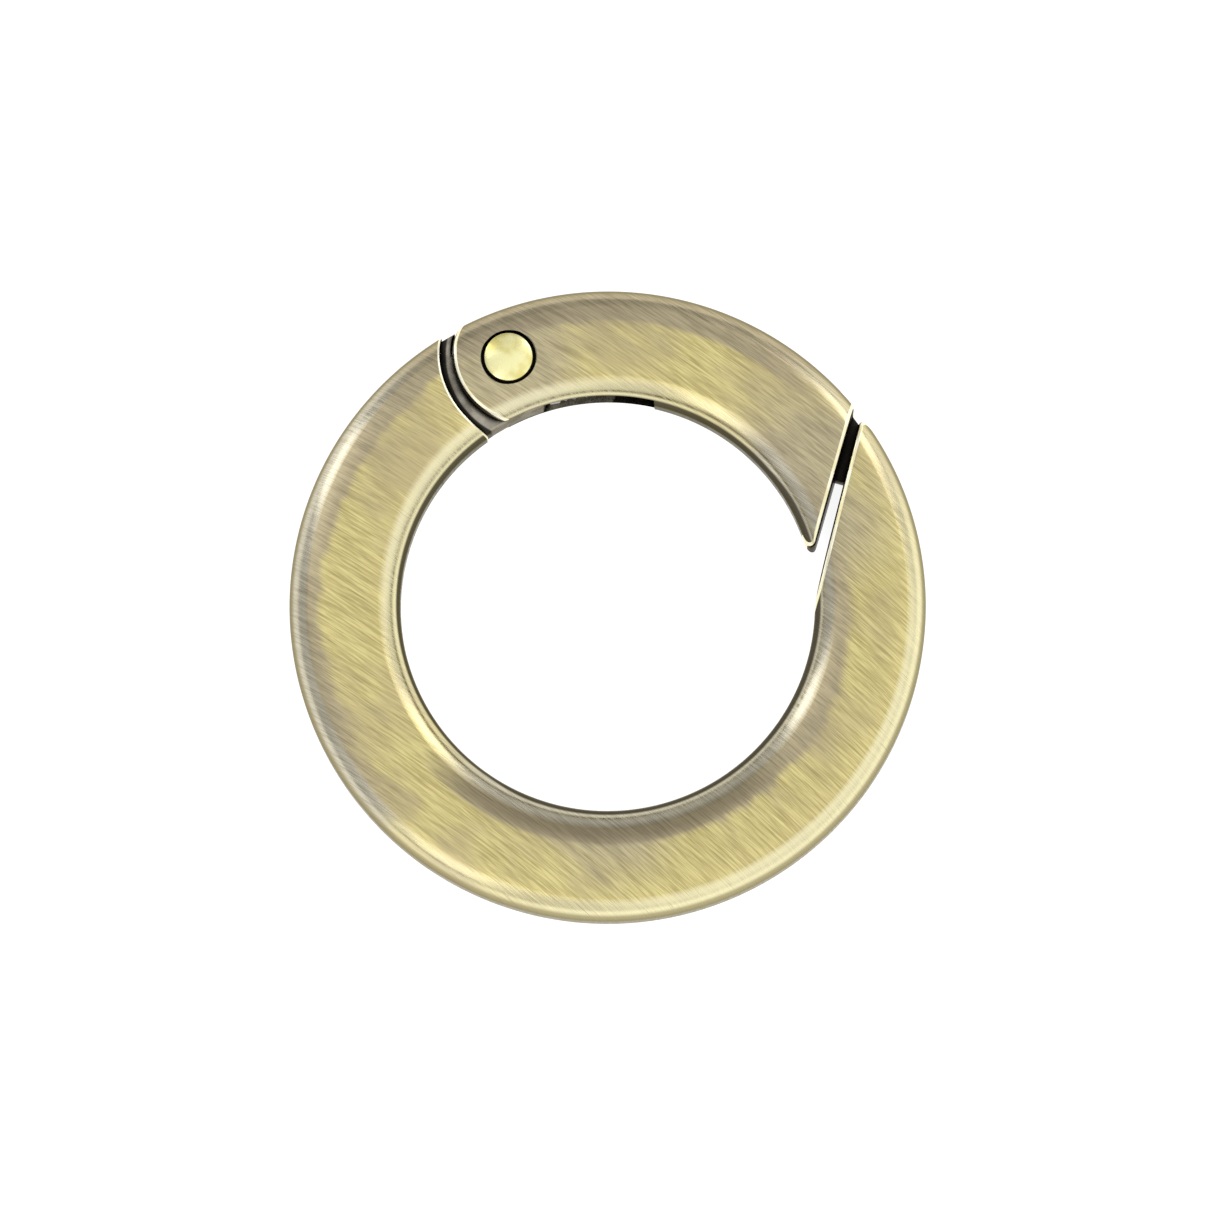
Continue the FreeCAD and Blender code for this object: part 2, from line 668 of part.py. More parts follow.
def make_hinge_rivet(doc):
    """Shank, domed head in the top counterbore, and flattened tail in the one below."""
    body = add_body(doc, "hinge_rivet")
    centre_x, centre_y = rivet_point()
    body.setExpression("Placement.Base.x", centre_x)
    body.setExpression("Placement.Base.y", centre_y)
    shank, head = value_of(cell("rivet_shank_radius")), value_of(cell("rivet_head_radius"))
    seat_expression = f"{cell('ring_thickness')} / 2 - {cell('counterbore_depth')}"
    seat = value_of(seat_expression)
    rim = seat + value_of(cell("rivet_rim_rise"))
    crown = seat + value_of(cell("rivet_head_rise"))
    tail_crown = seat + value_of(cell("rivet_tail_rise"))
    tail_rim = seat + value_of(cell("rivet_tail_rim_rise"))
    top_rim, top_crown = FreeCAD.Vector(head, rim, 0), FreeCAD.Vector(0, crown, 0)
    low_rim, low_crown = FreeCAD.Vector(head, -tail_rim, 0), FreeCAD.Vector(0, -tail_crown, 0)
    sketch = add_sketch(body, "rivet_profile", "XZ_Plane")
    drawn = add_outline(
        sketch,
        [
            ("arc", low_crown, dome_centre(low_rim, low_crown), False),
            ("line", low_rim),
            ("line", FreeCAD.Vector(head, -seat, 0)),
            ("line", FreeCAD.Vector(shank, -seat, 0)),
            ("line", FreeCAD.Vector(shank, seat, 0)),
            ("line", FreeCAD.Vector(head, seat, 0)),
            ("arc", top_rim, dome_centre(top_rim, top_crown), False),
            ("line", top_crown),
        ],
    )
    hold_point(sketch, drawn[4][0], START, (cell("rivet_shank_radius"), seat_expression))
    hold_point(sketch, drawn[5][0], START, (cell("rivet_head_radius"), seat_expression))
    add_feature(body, "Revolution", "rivet", sketch, ReferenceAxis=(sketch, ["V_Axis"]), Angle=360)
    return body


def place_on_spring_line(body):
    """Put a body's X axis on the spring line."""
    foot_x, foot_y = spring_point()
    body.setExpression("Placement.Base.x", foot_x)
    body.setExpression("Placement.Base.y", foot_y)
    body.setExpression("Placement.Rotation.Angle", cell("spring_line_angle"))


def follower_back():
    """Where the follower's head ends and its stem begins, along the spring line."""
    return f"{cell('tongue_nose_radius')} + {cell('follower_gap')} + {cell('follower_head_length')}"


def make_spring_follower(doc):
    """A pin with a flat head that bears on the tongue's nose, and a stem inside the coil."""
    body = add_body(doc, "spring_follower")
    place_on_spring_line(body)
    head, stem = value_of(cell("follower_head_radius")), value_of(cell("follower_stem_radius"))
    edge, back = value_of(cell("follower_edge")), value_of(follower_back())
    front = back - value_of(cell("follower_head_length"))
    reach = value_of(cell("follower_stem_reach"))
    sketch = add_sketch(body, "follower_profile")
    profile = [
        (front, 0),
        (reach, 0),
        (reach, stem - edge),
        (reach - edge, stem),
        (back, stem),
        (back, head),
        (front + edge, head),
        (front, head - edge),
    ]
    drawn = add_outline(sketch, [("line", FreeCAD.Vector(x, y, 0)) for x, y in profile])
    hold_point(sketch, drawn[4][0], START, (follower_back(), cell("follower_stem_radius")))
    hold_point(sketch, drawn[5][0], START, (follower_back(), cell("follower_head_radius")))
    bind(sketch, "DistanceX", *ORIGIN_POINT, drawn[1][0], START, cell("follower_stem_reach"))
    add_feature(body, "Revolution", "follower", sketch, ReferenceAxis=(sketch, ["H_Axis"]), Angle=360)
    return body


def make_return_spring(doc):
    """The coil spring between the follower's head and the bottom of its socket."""
    body = add_body(doc, "return_spring")
    place_on_spring_line(body)
    wire, end_gap = cell("spring_wire_radius"), cell("spring_end_gap")
    begin = f"{follower_back()} + {wire} + {end_gap}"
    length = f"{cell('spring_socket_end')} - {wire} - {end_gap} - ({begin})"
    sketch = add_sketch(body, "spring_wire")
    add_circle(sketch, (begin, f"{cell('spring_outer_radius')} - {wire}"), wire)
    add_feature(
        body,
        "AdditiveHelix",
        "spring_coil",
        sketch,
        ReferenceAxis=(sketch, ["H_Axis"]),
        Mode="height-turns-angle",
        Height=length,
        Turns=cell("spring_turns"),
    )
    return body


# ---------------------------------------------------------------- build and write


def check(doc, bodies):
    """Stop if any object failed or any sub-part isn't one valid solid."""
    for item in doc.Objects:
        if {"Invalid", "Error"} & set(item.State):
            raise RuntimeError(f"{item.Label} failed: {item.State}")
    for body in bodies:
        shape = body.Shape
        if shape.isNull() or not shape.isValid() or len(shape.Solids) != 1:
            raise RuntimeError(f"{body.Label} isn't one valid solid")


def main():
    make_sheet(DOC)
    makers = (make_ring_body, make_gate, make_hinge_rivet, make_spring_follower, make_return_spring)
    bodies = [make(DOC) for make in makers]
    DOC.recompute()
    check(DOC, bodies)
    os.makedirs("parts", exist_ok=True)
    for body in bodies:
        body.Shape.exportStep(f"parts/{body.Label}.step")
        box = body.Shape.BoundBox
        print(f"{body.Label}: {body.Shape.Volume:.2f} mm3, z {box.ZMin:.3f} to {box.ZMax:.3f}")


DOC = FreeCAD.newDocument("spring_gate_ring")
main()
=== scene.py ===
"""Looks of the round spring gate ring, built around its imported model.

Every visible piece is made again as a dense mesh with rounded edges, in the place and size of
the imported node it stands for. Shapes are worked out in millimetres, with heights from the
ring's mid-plane, and are written to the meshes in metres.
"""

import json
import math

import bmesh
import bpy
from mathutils import Matrix, Vector


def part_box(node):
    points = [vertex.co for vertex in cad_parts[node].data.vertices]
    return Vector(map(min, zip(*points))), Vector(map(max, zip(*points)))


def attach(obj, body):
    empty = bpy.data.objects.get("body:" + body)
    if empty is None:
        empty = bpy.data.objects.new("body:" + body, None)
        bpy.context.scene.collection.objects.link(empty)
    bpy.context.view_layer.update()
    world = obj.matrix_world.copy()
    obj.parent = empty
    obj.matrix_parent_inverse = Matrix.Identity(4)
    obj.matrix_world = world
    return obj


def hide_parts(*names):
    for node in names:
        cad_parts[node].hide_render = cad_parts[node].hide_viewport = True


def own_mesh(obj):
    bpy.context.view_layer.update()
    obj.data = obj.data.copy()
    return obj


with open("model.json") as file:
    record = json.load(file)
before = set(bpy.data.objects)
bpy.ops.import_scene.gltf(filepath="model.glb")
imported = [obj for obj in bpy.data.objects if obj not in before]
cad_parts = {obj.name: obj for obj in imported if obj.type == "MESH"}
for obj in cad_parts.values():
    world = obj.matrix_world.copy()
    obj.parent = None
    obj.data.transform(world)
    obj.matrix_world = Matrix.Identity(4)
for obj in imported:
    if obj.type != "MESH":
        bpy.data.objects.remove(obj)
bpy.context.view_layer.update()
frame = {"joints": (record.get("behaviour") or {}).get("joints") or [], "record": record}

# ---------------------------------------------------------------- sizes, in millimetres

MM = 0.001
JOINTS = {joint["name"]: joint for joint in frame["joints"]}
MOUNTS = {mount["name"]: mount for mount in frame["record"]["mounts"]}
RING_LOW, RING_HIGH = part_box("ring_body")
HEAD_LOW, HEAD_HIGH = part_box("hinge_rivet")

OUTER = round(-RING_LOW.x / MM, 1)
INNER = MOUNTS["eye"]["dims"]["r_mm"]
THICK = round(RING_HIGH.z / MM, 2)
TOP = THICK / 2
CENTRE = Vector((0, 0))
RIVET = Vector(JOINTS["gate_swing"]["pos_m"]).xy / MM
SPRING_LINE = Vector(JOINTS["follower_slide"]["axis"]).xy
SPRING_ACROSS = Vector((-SPRING_LINE.y, SPRING_LINE.x))

# The ring's section.
FLAT_IN, FLAT_OUT = 15.3, 16.7
CROWN_DROP = 0.2
SHOULDER_IN, SHOULDER_OUT = 1.3, 1.15
SHOULDER_DROP, SHOULDER_BULGE = 1.7, 0.3
CREASE_ROUND = 0.45

# The hinge: round ends, tongue, hollow and rivet.
RING_END, RING_END_RADIUS = Vector((-4.43, 15.26)), 5.68
GATE_END, GATE_END_RADIUS = Vector((-4.95, 15.28)), 4.38
BOSS_RADIUS, NOSE_RADIUS, TONGUE_RIM = 2.1, 1.9, 17.9
TONGUE_INNER, WEB_RIM, WEB_CLEARANCE = 12.7, 18.95, 0.1
TONGUE_THICK, TONGUE_ROOT = 2.3, 1.0
SHANK_RADIUS, BORE_CLEARANCE = 1.0, 0.05
BORE_RADIUS = 1.65
BORE_DEPTH = 0.7
HEAD_RADIUS = round((HEAD_HIGH.x - HEAD_LOW.x) / 2 / MM, 2)
HEAD_RIM_RISE, HEAD_RISE = 0.72, 1.0
TAIL_RIM_RISE, TAIL_RISE = 0.45, 0.6
HOLLOW_HEIGHT, HOLLOW_RADIUS, HOLLOW_RIM = 2.6, 3.4, 18.25
HOLLOW_PAST_RIVET = math.radians(30)

# The spring line, measured from the point on it that is nearest the rivet.
SPRING_OFFSET = 2.0
SPRING_FOOT = RIVET - SPRING_ACROSS * SPRING_OFFSET
CHANNEL_HALF, CHANNEL_END = 1.0, 8.2
SOCKET_END, SOCKET_RADIUS = 10.2, 0.95
COIL_RADIUS, WIRE_RADIUS, COIL_TURNS, COIL_GAP = 0.85, 0.15, 11, 0.02
CLOSED_PITCH = 2.1 * WIRE_RADIUS
FOLLOWER_GAP, FOLLOWER_HEAD, FOLLOWER_HEAD_LENGTH = 0.05, 0.9, 0.7
FOLLOWER_STEM, FOLLOWER_REACH, FOLLOWER_EDGE = 0.45, 8.75, 0.12

# The latch: slanted ends, tab and slot. The tab is drawn with Y up the gate's slanted end.
GATE_SLANT, GATE_SLANT_DISTANCE, BEAK_ROUND = math.radians(15.9), 11.096, 0.33
RING_SLANT, RING_SLANT_DISTANCE, NOSE_ROUND = math.radians(14.3), 12.038, 0.3
TAB_THICK, TAB_REACH, TAB_RIM, TAB_CORNER = 1.6, 20.3, 18.75, 0.35
TAB_RIGHT, TAB_BOTTOM = 12.6, 11.1
SLOT_HEIGHT, SLOT_REACH, SLOT_CLEARANCE = 1.9, 20.15, 0.05

# Radii of the rounded edges. The rivet's has its centre a share of its radius below the dome's
# rim, and is flattened to a share of its height.
RING_HINGE_EDGE, RING_LATCH_EDGE = 0.16, 0.3
GATE_HINGE_EDGE, GATE_LATCH_EDGE = 0.24, 0.26
TONGUE_EDGE, TAB_EDGE, COUNTERBORE_EDGE = 0.14, 0.1, 0.09
RIVET_EDGE, RIVET_EDGE_DROP, RIVET_EDGE_FLATTENING = 0.1, 0.8, 0.9

# How finely things are divided.
ARC_STEP = math.radians(4)
FINE_STEP = math.radians(1)
SECTION_STEP = math.radians(3)
LATHE_STEPS = 96
DOME_STEPS = 24
EDGE_STEPS, RIVET_EDGE_STEPS, END_ROUNDS = 4, 6, 6
COIL_STEPS, WIRE_SIDES = 40, 14

# How far a cutter reaches past what it cuts, along the spring line and above a face.
OVERCUT, OVERCUT_ABOVE = 0.4, 0.05


# ---------------------------------------------------------------- plan geometry


def polar(radius, angle):
    return Vector((math.cos(angle), math.sin(angle))) * radius


def turned(point, angle):
    return Matrix.Rotation(angle, 2) @ point


def circles_meet(first, second, side):
    """Where two circles (centre, radius) cross, left (+1) or right (-1) of the line of centres."""
    (a, a_radius), (b, b_radius) = first, second
    line = b - a
    along = (line.length_squared + a_radius**2 - b_radius**2) / (2 * line.length)
    across = math.sqrt(a_radius**2 - along**2)
    line.normalize()
    return a + line * along + Vector((-line.y, line.x)) * (side * across)


def trace(edges):
    """The points of a closed outline. Each edge is (start,) for a line or (start, centre,
    clockwise) for an arc, and ends where the next begins."""
    points = []
    for index, edge in enumerate(edges):
        begin, finish = edge[0], edges[(index + 1) % len(edges)][0]
        points.append(begin)
        if len(edge) == 1:
            continue
        centre, clockwise = edge[1:]
        spoke = begin - centre
        swing = math.atan2(*(finish - centre).yx) - math.atan2(*spoke.yx)
        swing = swing % -math.tau if clockwise else swing % math.tau
        steps = max(2, math.ceil(abs(swing) / ARC_STEP))
        points += [centre + turned(spoke, swing * step / steps) for step in range(1, steps)]
    return points


def slant_frame(angle):
    """The directions across and along a slanted end face."""
    return Vector((math.cos(angle), -math.sin(angle))), Vector((math.sin(angle), math.cos(angle)))


# Each end of the band below is a function from a radius to the angle of the end there, and to
# the length along the circle that one millimetre square to the end face takes. STEEPEST limits
# that length where the end face runs nearly along the circle.
STEEPEST = 0.38


def round_end(centre, radius):
    """The hinge ends, on the far side of a circle from the latch."""
    reach, bearing = centre.length, math.atan2(centre.y, centre.x)

    def end(r):
        swing = math.acos((r**2 + reach**2 - radius**2) / (2 * r * reach))
        squareness = reach * math.sin(swing) / radius
        return bearing + swing, 1 / max(STEEPEST, squareness)

    return end


def slanted_end(slant, distance, rim, tip):
    """The latch ends: a slanted line with a round tip at one rim. tip is the round's radius,
    positive where the metal lies beyond the line (the ring) and negative where it lies before."""
    across, along = slant_frame(slant)
    tip_distance, tip_reach = distance + tip, rim - tip
    tip_along = math.sqrt(tip_reach**2 - tip_distance**2)
    tip_centre = across * tip_distance + along * tip_along
    bearing = math.atan2(tip_centre.y, tip_centre.x)
    leaves_line = math.hypot(distance, tip_along)
    side = math.copysign(1, tip)

    def end(r):
        if (r - leaves_line) * side > 0:
            cosine = (r**2 + tip_reach**2 - tip**2) / (2 * r * tip_reach)
            swing = math.acos(min(1, cosine))
            squareness = tip_reach * math.sin(swing) / abs(tip)
            return bearing + side * swing, 1 / max(STEEPEST, squareness)
        squareness = math.sqrt(1 - (distance / r) ** 2)
        return math.acos(distance / r) - slant, 1 / max(STEEPEST, squareness)

    return end


# ---------------------------------------------------------------- meshes


def mesh_object(name, bm, materials):
    """An object from a bmesh. It stays in millimetres from the mid-plane until it is finished."""
    bmesh.ops.recalc_face_normals(bm, faces=bm.faces)
    mesh = bpy.data.meshes.new(name)
    bm.to_mesh(mesh)
    bm.free()
    for material in materials:
        mesh.materials.append(material)
    piece = bpy.data.objects.new(name, mesh)
    bpy.context.scene.collection.objects.link(piece)
    return piece


def arc_samples(centre, radius, begin, finish):
    """Points of a section arc from one tilt to another. Tilts are measured from straight up."""
    steps = math.ceil((finish - begin) / SECTION_STEP)
    tilts = [begin + (finish - begin) * step / steps for step in range(1, steps + 1)]
    return [(centre[0] + radius * math.sin(t), centre[1] + radius * math.cos(t)) for t in tilts]


def half_section(width, shoulder, inset):
    """The section from the edge of its flat top out to the rim's wall: crown, crease, shoulder
    and the round into the wall, each moved in by inset. (outward, up) from the flat's edge."""
    crown = width - shoulder
    crown_radius = (crown**2 + CROWN_DROP**2) / (2 * CROWN_DROP)
    crown_centre = Vector((0, TOP - crown_radius))
    edge = Vector((crown, TOP - CROWN_DROP))
    wall = Vector((width, edge.y - SHOULDER_DROP))
    chord = wall - edge
    bow = chord.length_squared / (8 * SHOULDER_BULGE) + SHOULDER_BULGE / 2
    outwards = Vector((-chord.y, chord.x)).normalized()
    bow_centre = (edge + wall) / 2 - outwards * (bow - SHOULDER_BULGE)
    crease = circles_meet(
        (crown_centre, crown_radius - CREASE_ROUND), (bow_centre, bow - CREASE_ROUND), -1
    )
    corner_x = width - CREASE_ROUND
    corner_y = bow_centre.y + math.sqrt((bow - CREASE_ROUND) ** 2 - (corner_x - bow_centre.x) ** 2)
    corner = Vector((corner_x, corner_y))

    def tilt(centre, point):
        return math.atan2(point.x - centre.x, point.y - centre.y)

    crown_tilt, bow_from = tilt(crown_centre, crease), tilt(bow_centre, crease)
    bow_to = tilt(bow_centre, corner)
    points = [(0.0, TOP - inset)]
    points += arc_samples(crown_centre, crown_radius - inset, 0, crown_tilt)
    points += arc_samples(crease, CREASE_ROUND - inset, crown_tilt, bow_from)
    points += arc_samples(bow_centre, bow - inset, bow_from, bow_to)
    points += arc_samples(corner, CREASE_ROUND - inset, bow_to, math.pi / 2)
    return points


def top_section(inset):
    """The upper half of the section, from the inner wall to the outer wall, as (radius, up)."""
    inner = half_section(FLAT_IN - INNER, SHOULDER_IN, inset)
    outer = half_section(OUTER - FLAT_OUT, SHOULDER_OUT, inset)
    flat = [(FLAT_IN + (FLAT_OUT - FLAT_IN) * share, TOP - inset) for share in (0.25, 0.5, 0.75)]
    inwards = [(FLAT_IN - x, y) for x, y in reversed(inner)]
    outwards = [(FLAT_OUT + x, y) for x, y in outer]
    return inwards + flat + outwards


# The order of the band's materials: its skin, its end faces, and the rounded edges between them,
# worn bright and lightened further as a painted highlight.
SKIN_FACE, END_FACE, WORN_HIGHLIGHT_FACE = 0, 1, 2


def face_kind(from_cap):
    """Which material a row of the band's faces takes, by the rows between it and the end face.
    The half of the rounded edge that is nearer to the end face belongs to that."""
    if from_cap >= END_ROUNDS:
        return SKIN_FACE
    return END_FACE if from_cap < END_ROUNDS / 2 else WORN_HIGHLIGHT_FACE


def band(name, start, end, edges, materials):
    """A stretch of the ring between two ends, with the edges of its end faces rounded by the
    two radii in edges."""
    bend = [math.pi / 2 * step / END_ROUNDS for step in range(END_ROUNDS + 1)]
    span = end(FLAT_OUT)[0] - start(FLAT_OUT)[0]
    steps = math.ceil(span / FINE_STEP)
    stations = [(0.0, edges[0] * (1 - math.sin(t)), 1 - math.cos(t)) for t in bend]
    stations += [(step / steps, 0.0, 1.0) for step in range(1, steps)]
    stations += [(1.0, edges[1] * (1 - math.sin(t)), 1 - math.cos(t)) for t in reversed(bend)]

    bm = bmesh.new()
    loops = []
    for share, inset, from_end in stations:
        upper = top_section(inset)
        loop = []
        for radius, height in upper + [(radius, -height) for radius, height in reversed(upper)]:
            begin, begin_slope = start(radius)
            finish, finish_slope = end(radius)
            begin += from_end * edges[0] * begin_slope / radius
            finish -= from_end * edges[1] * finish_slope / radius
            place = polar(radius, begin + (finish - begin) * share)
            loop.append(bm.verts.new((place.x, place.y, height)))
        loops.append(loop)
    count = len(loops[0])
    for station, (here, there) in enumerate(zip(loops, loops[1:])):
        from_cap = min(station, len(loops) - 2 - station)
        for index in range(count):
            following = (index + 1) % count
            face = bm.faces.new((here[index], here[following], there[following], there[index]))
            face.material_index = face_kind(from_cap)
    for loop in (loops[0], loops[-1]):
        for index in range(count // 2 - 1):
            mirror = count - 1 - index
            face = bm.faces.new((loop[index], loop[index + 1], loop[mirror - 1], loop[mirror]))
            face.material_index = END_FACE
    return mesh_object(name, bm, materials)


def prism(name, outline, height, edge, materials):
    """A flat plate about the mid-plane, with its upper and lower edges rounded unless edge is 0."""
    bm = bmesh.new()
    lower = [bm.verts.new((p.x, p.y, -height / 2)) for p in outline]
    face = bm.faces.new(lower)
    grown = bmesh.ops.extrude_face_region(bm, geom=[face])["geom"]
    raised = [item for item in grown if isinstance(item, bmesh.types.BMVert)]
    bmesh.ops.translate(bm, verts=raised, vec=(0, 0, height))
    if edge:
        rims = [e for e in bm.edges if abs(e.verts[0].co.z - e.verts[1].co.z) < edge]
        shape = {"offset": edge, "segments": 3, "profile": 0.5, "clamp_overlap": True}
        bmesh.ops.bevel(bm, geom=rims, affect="EDGES", **shape)
    return mesh_object(name, bm, materials)


def lathe(name, profile, origin, axis, materials):
    """A solid of revolution. The profile is (along, radius) from one end of the axis to the
    other, and a radius of 0 is a point. The origin and axis are in plan, or the axis is None for
    an upright one."""
    forward = Vector((0, 0, 1)) if axis is None else axis.to_3d()
    side = Vector((1, 0, 0)) if axis is None else Vector((0, 0, 1))
    third = forward.cross(side)
    foot = origin.to_3d()
    angles = [math.tau * step / LATHE_STEPS for step in range(LATHE_STEPS)]
    spokes = [side * math.cos(angle) + third * math.sin(angle) for angle in angles]
    bm = bmesh.new()
    rings = []
    for along, radius in profile:
        centre = foot + forward * along
        if radius == 0:
            rings.append([bm.verts.new(centre)])
        else:
            rings.append([bm.verts.new(centre + spoke * radius) for spoke in spokes])
    for here, there in zip(rings, rings[1:]):
        for step in range(LATHE_STEPS):
            following = (step + 1) % LATHE_STEPS
            corners = [here[step % len(here)], here[following % len(here)]]
            corners += [there[following % len(there)], there[step % len(there)]]
            bm.faces.new(list(dict.fromkeys(corners)))
    return mesh_object(name, bm, materials)


def combine(piece, tool, operation):
    """Join a tool to a piece or cut it away, and drop the tool. Cut faces take its material."""
    modifier = piece.modifiers.new("combine", "BOOLEAN")
    modifier.operation = operation
    modifier.solver = "EXACT"
    modifier.material_mode = "TRANSFER"
    modifier.object = tool
    bpy.context.view_layer.update()
    evaluated = piece.evaluated_get(bpy.context.evaluated_depsgraph_get())
    result = bpy.data.meshes.new_from_object(evaluated)
    piece.modifiers.remove(modifier)
    piece.data = result
    bpy.data.objects.remove(tool)


def finish_piece(piece, node, body, crisp=30):
    """Lift a piece to its place, in metres, and shade it smooth but for edges sharper than crisp,
    in degrees. It then stands for its node."""
    piece.data.transform(Matrix.Scale(MM, 4) @ Matrix.Translation((0, 0, TOP)))
    for face in piece.data.polygons:
        face.use_smooth = True
    piece.data.set_sharp_from_angle(angle=math.radians(crisp))
    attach(piece, body)
    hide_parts(node)


# ---------------------------------------------------------------- the ring


def tongue_outline():
    """The hinge tongue: round about the rivet and at the spring, with a thin web that fills the
    floor of the gap."""
    boss, nose = (RIVET, BOSS_RADIUS), (SPRING_FOOT, NOSE_RADIUS)
    inner_rim, outer_rim, web_rim = (CENTRE, TONGUE_INNER), (CENTRE, TONGUE_RIM), (CENTRE, WEB_RIM)
    clear = (GATE_END, GATE_END_RADIUS + WEB_CLEARANCE)
    root = (RING_END, RING_END_RADIUS + TONGUE_ROOT)
    return trace(
        [
            (circles_meet(nose, inner_rim, 1), SPRING_FOOT, False),
            (circles_meet(nose, boss, -1), RIVET, False),
            (circles_meet(boss, outer_rim, 1), CENTRE, False),
            (circles_meet(outer_rim, clear, 1), GATE_END, True),
            (circles_meet(web_rim, clear, 1), CENTRE, False),
            (circles_meet(web_rim, root, 1),),
            (circles_meet(inner_rim, root, 1), CENTRE, True),
        ]
    )


def tab_outline():
    """The latch tab, drawn with Y up the gate's slanted end and then turned into place."""
    rivet = turned(RIVET, GATE_SLANT)
    corner_reach = TAB_REACH + TAB_CORNER
    corner_rise = TAB_BOTTOM + TAB_CORNER - rivet.y
    corner = rivet + Vector((math.sqrt(corner_reach**2 - corner_rise**2), corner_rise))
    side_end = rivet + (corner - rivet) * (TAB_REACH / corner_reach)
    outline = trace(
        [
            (Vector((corner.x, TAB_BOTTOM)),),
            (Vector((TAB_RIGHT, TAB_BOTTOM)),),
            (Vector((TAB_RIGHT, math.sqrt(TAB_RIM**2 - TAB_RIGHT**2))), CENTRE, False),
            (circles_meet((rivet, TAB_REACH), (CENTRE, TAB_RIM), 1), rivet, True),
            (side_end, corner, False),
        ]
    )
    return [turned(point, -GATE_SLANT) for point in outline]


def make_ring(skin, recess, edge):
    """The open ring's casting, with its tongue, its tab and the rivet's bore."""
    start = round_end(RING_END, RING_END_RADIUS)
    latch = slanted_end(RING_SLANT, RING_SLANT_DISTANCE, OUTER, NOSE_ROUND)

    def end(r):
        angle, slope = latch(r)
        return angle + math.tau, slope

    edges = (RING_HINGE_EDGE, RING_LATCH_EDGE)
    ring = band("ring_casting", start, end, edges, [skin, recess, edge])
    tongue = prism("tongue", tongue_outline(), TONGUE_THICK, TONGUE_EDGE, [recess])
    combine(ring, tongue, "UNION")
    tab = prism("latch_tab", tab_outline(), TAB_THICK, TAB_EDGE, [recess])
    combine(ring, tab, "UNION")
    bore = SHANK_RADIUS + BORE_CLEARANCE
    profile = [(-TOP, 0), (-TOP, bore), (TOP, bore), (TOP, 0)]
    combine(ring, lathe("bore", profile, RIVET, None, [recess]), "DIFFERENCE")
    finish_piece(ring, "ring_body", "ring")


# ---------------------------------------------------------------- the gate


def on_spring_line(along, across):
    return SPRING_FOOT + SPRING_LINE * along + SPRING_ACROSS * across


def hollow_outline():
    """The slot for the tongue, and the spring's channel, open to the eye."""
    chamber_foot = math.sqrt(HOLLOW_RADIUS**2 - (SPRING_OFFSET - CHANNEL_HALF) ** 2)
    depth = OUTER / 2
    mouth = polar(HOLLOW_RIM, math.atan2(RIVET.y, RIVET.x) + HOLLOW_PAST_RIVET)
    mouth_along = (mouth - SPRING_FOOT).dot(SPRING_LINE)
    return trace(
        [
            (on_spring_line(CHANNEL_END, -depth),),
            (on_spring_line(CHANNEL_END, CHANNEL_HALF),),
            (on_spring_line(chamber_foot, CHANNEL_HALF), RIVET, False),
            (circles_meet((RIVET, HOLLOW_RADIUS), (CENTRE, HOLLOW_RIM), 1), CENTRE, False),
            (mouth,),
            (on_spring_line(mouth_along, -depth),),
        ]
    )


def latch_slot_outline():
    """The slot that takes the latch tab, drawn as the tab is."""
    rivet = turned(RIVET, GATE_SLANT)
    bottom, top = TAB_BOTTOM - SLOT_CLEARANCE, OUTER

    def floor_point(rise):
        return Vector((rivet.x + math.sqrt(SLOT_REACH**2 - (rise - rivet.y) ** 2), rise))

    outline = trace(
        [
            (floor_point(bottom),),
            (Vector((TAB_RIGHT, bottom)),),
            (Vector((TAB_RIGHT, top)),),
            (floor_point(top), rivet, True),
        ]
    )
    return [turned(point, -GATE_SLANT) for point in outline]


def counterbore(side, recess):
    """The cutter for one counterbore, flared at its mouth so that the edge is rounded."""
    seat, above = TOP - BORE_DEPTH, TOP + OVERCUT_ABOVE
    mouth = [(above, BORE_RADIUS + COUNTERBORE_EDGE + OVERCUT_ABOVE)]
    for step in range(EDGE_STEPS + 1):
        bend = math.pi / 2 * step / EDGE_STEPS
        flare = COUNTERBORE_EDGE * (1 - math.sin(bend)) ** 2
        mouth.append((TOP - COUNTERBORE_EDGE * math.sin(bend), BORE_RADIUS + flare))
    profile = [(above, 0)] + mouth + [(seat, BORE_RADIUS), (seat, 0)]
    if side < 0:
        profile = [(-along, radius) for along, radius in reversed(profile)]
    return lathe("counterbore", profile, RIVET, None, [recess])


def make_gate(skin, recess, edge):
    """The gate's casting, cut out for the tongue, the spring, the rivet and the tab."""
    start = slanted_end(GATE_SLANT, GATE_SLANT_DISTANCE, INNER, -BEAK_ROUND)
    end = round_end(GATE_END, GATE_END_RADIUS)
    edges = (GATE_LATCH_EDGE, GATE_HINGE_EDGE)
    gate = band("gate_casting", start, end, edges, [skin, recess, edge])
    combine(gate, prism("hollow", hollow_outline(), HOLLOW_HEIGHT, 0, [recess]), "DIFFERENCE")
    near = CHANNEL_END - OVERCUT
    socket = [(near, 0), (near, SOCKET_RADIUS), (SOCKET_END, SOCKET_RADIUS), (SOCKET_END, 0)]
    combine(gate, lathe("socket", socket, SPRING_FOOT, SPRING_LINE, [recess]), "DIFFERENCE")
    bore = [(-THICK, 0), (-THICK, SHANK_RADIUS), (THICK, SHANK_RADIUS), (THICK, 0)]
    combine(gate, lathe("bore", bore, RIVET, None, [recess]), "DIFFERENCE")
    for side in (1, -1):
        combine(gate, counterbore(side, recess), "DIFFERENCE")
    combine(gate, prism("latch_slot", latch_slot_outline(), SLOT_HEIGHT, 0, [recess]), "DIFFERENCE")
    finish_piece(gate, "gate", "gate")


# ---------------------------------------------------------------- rivet, follower and spring


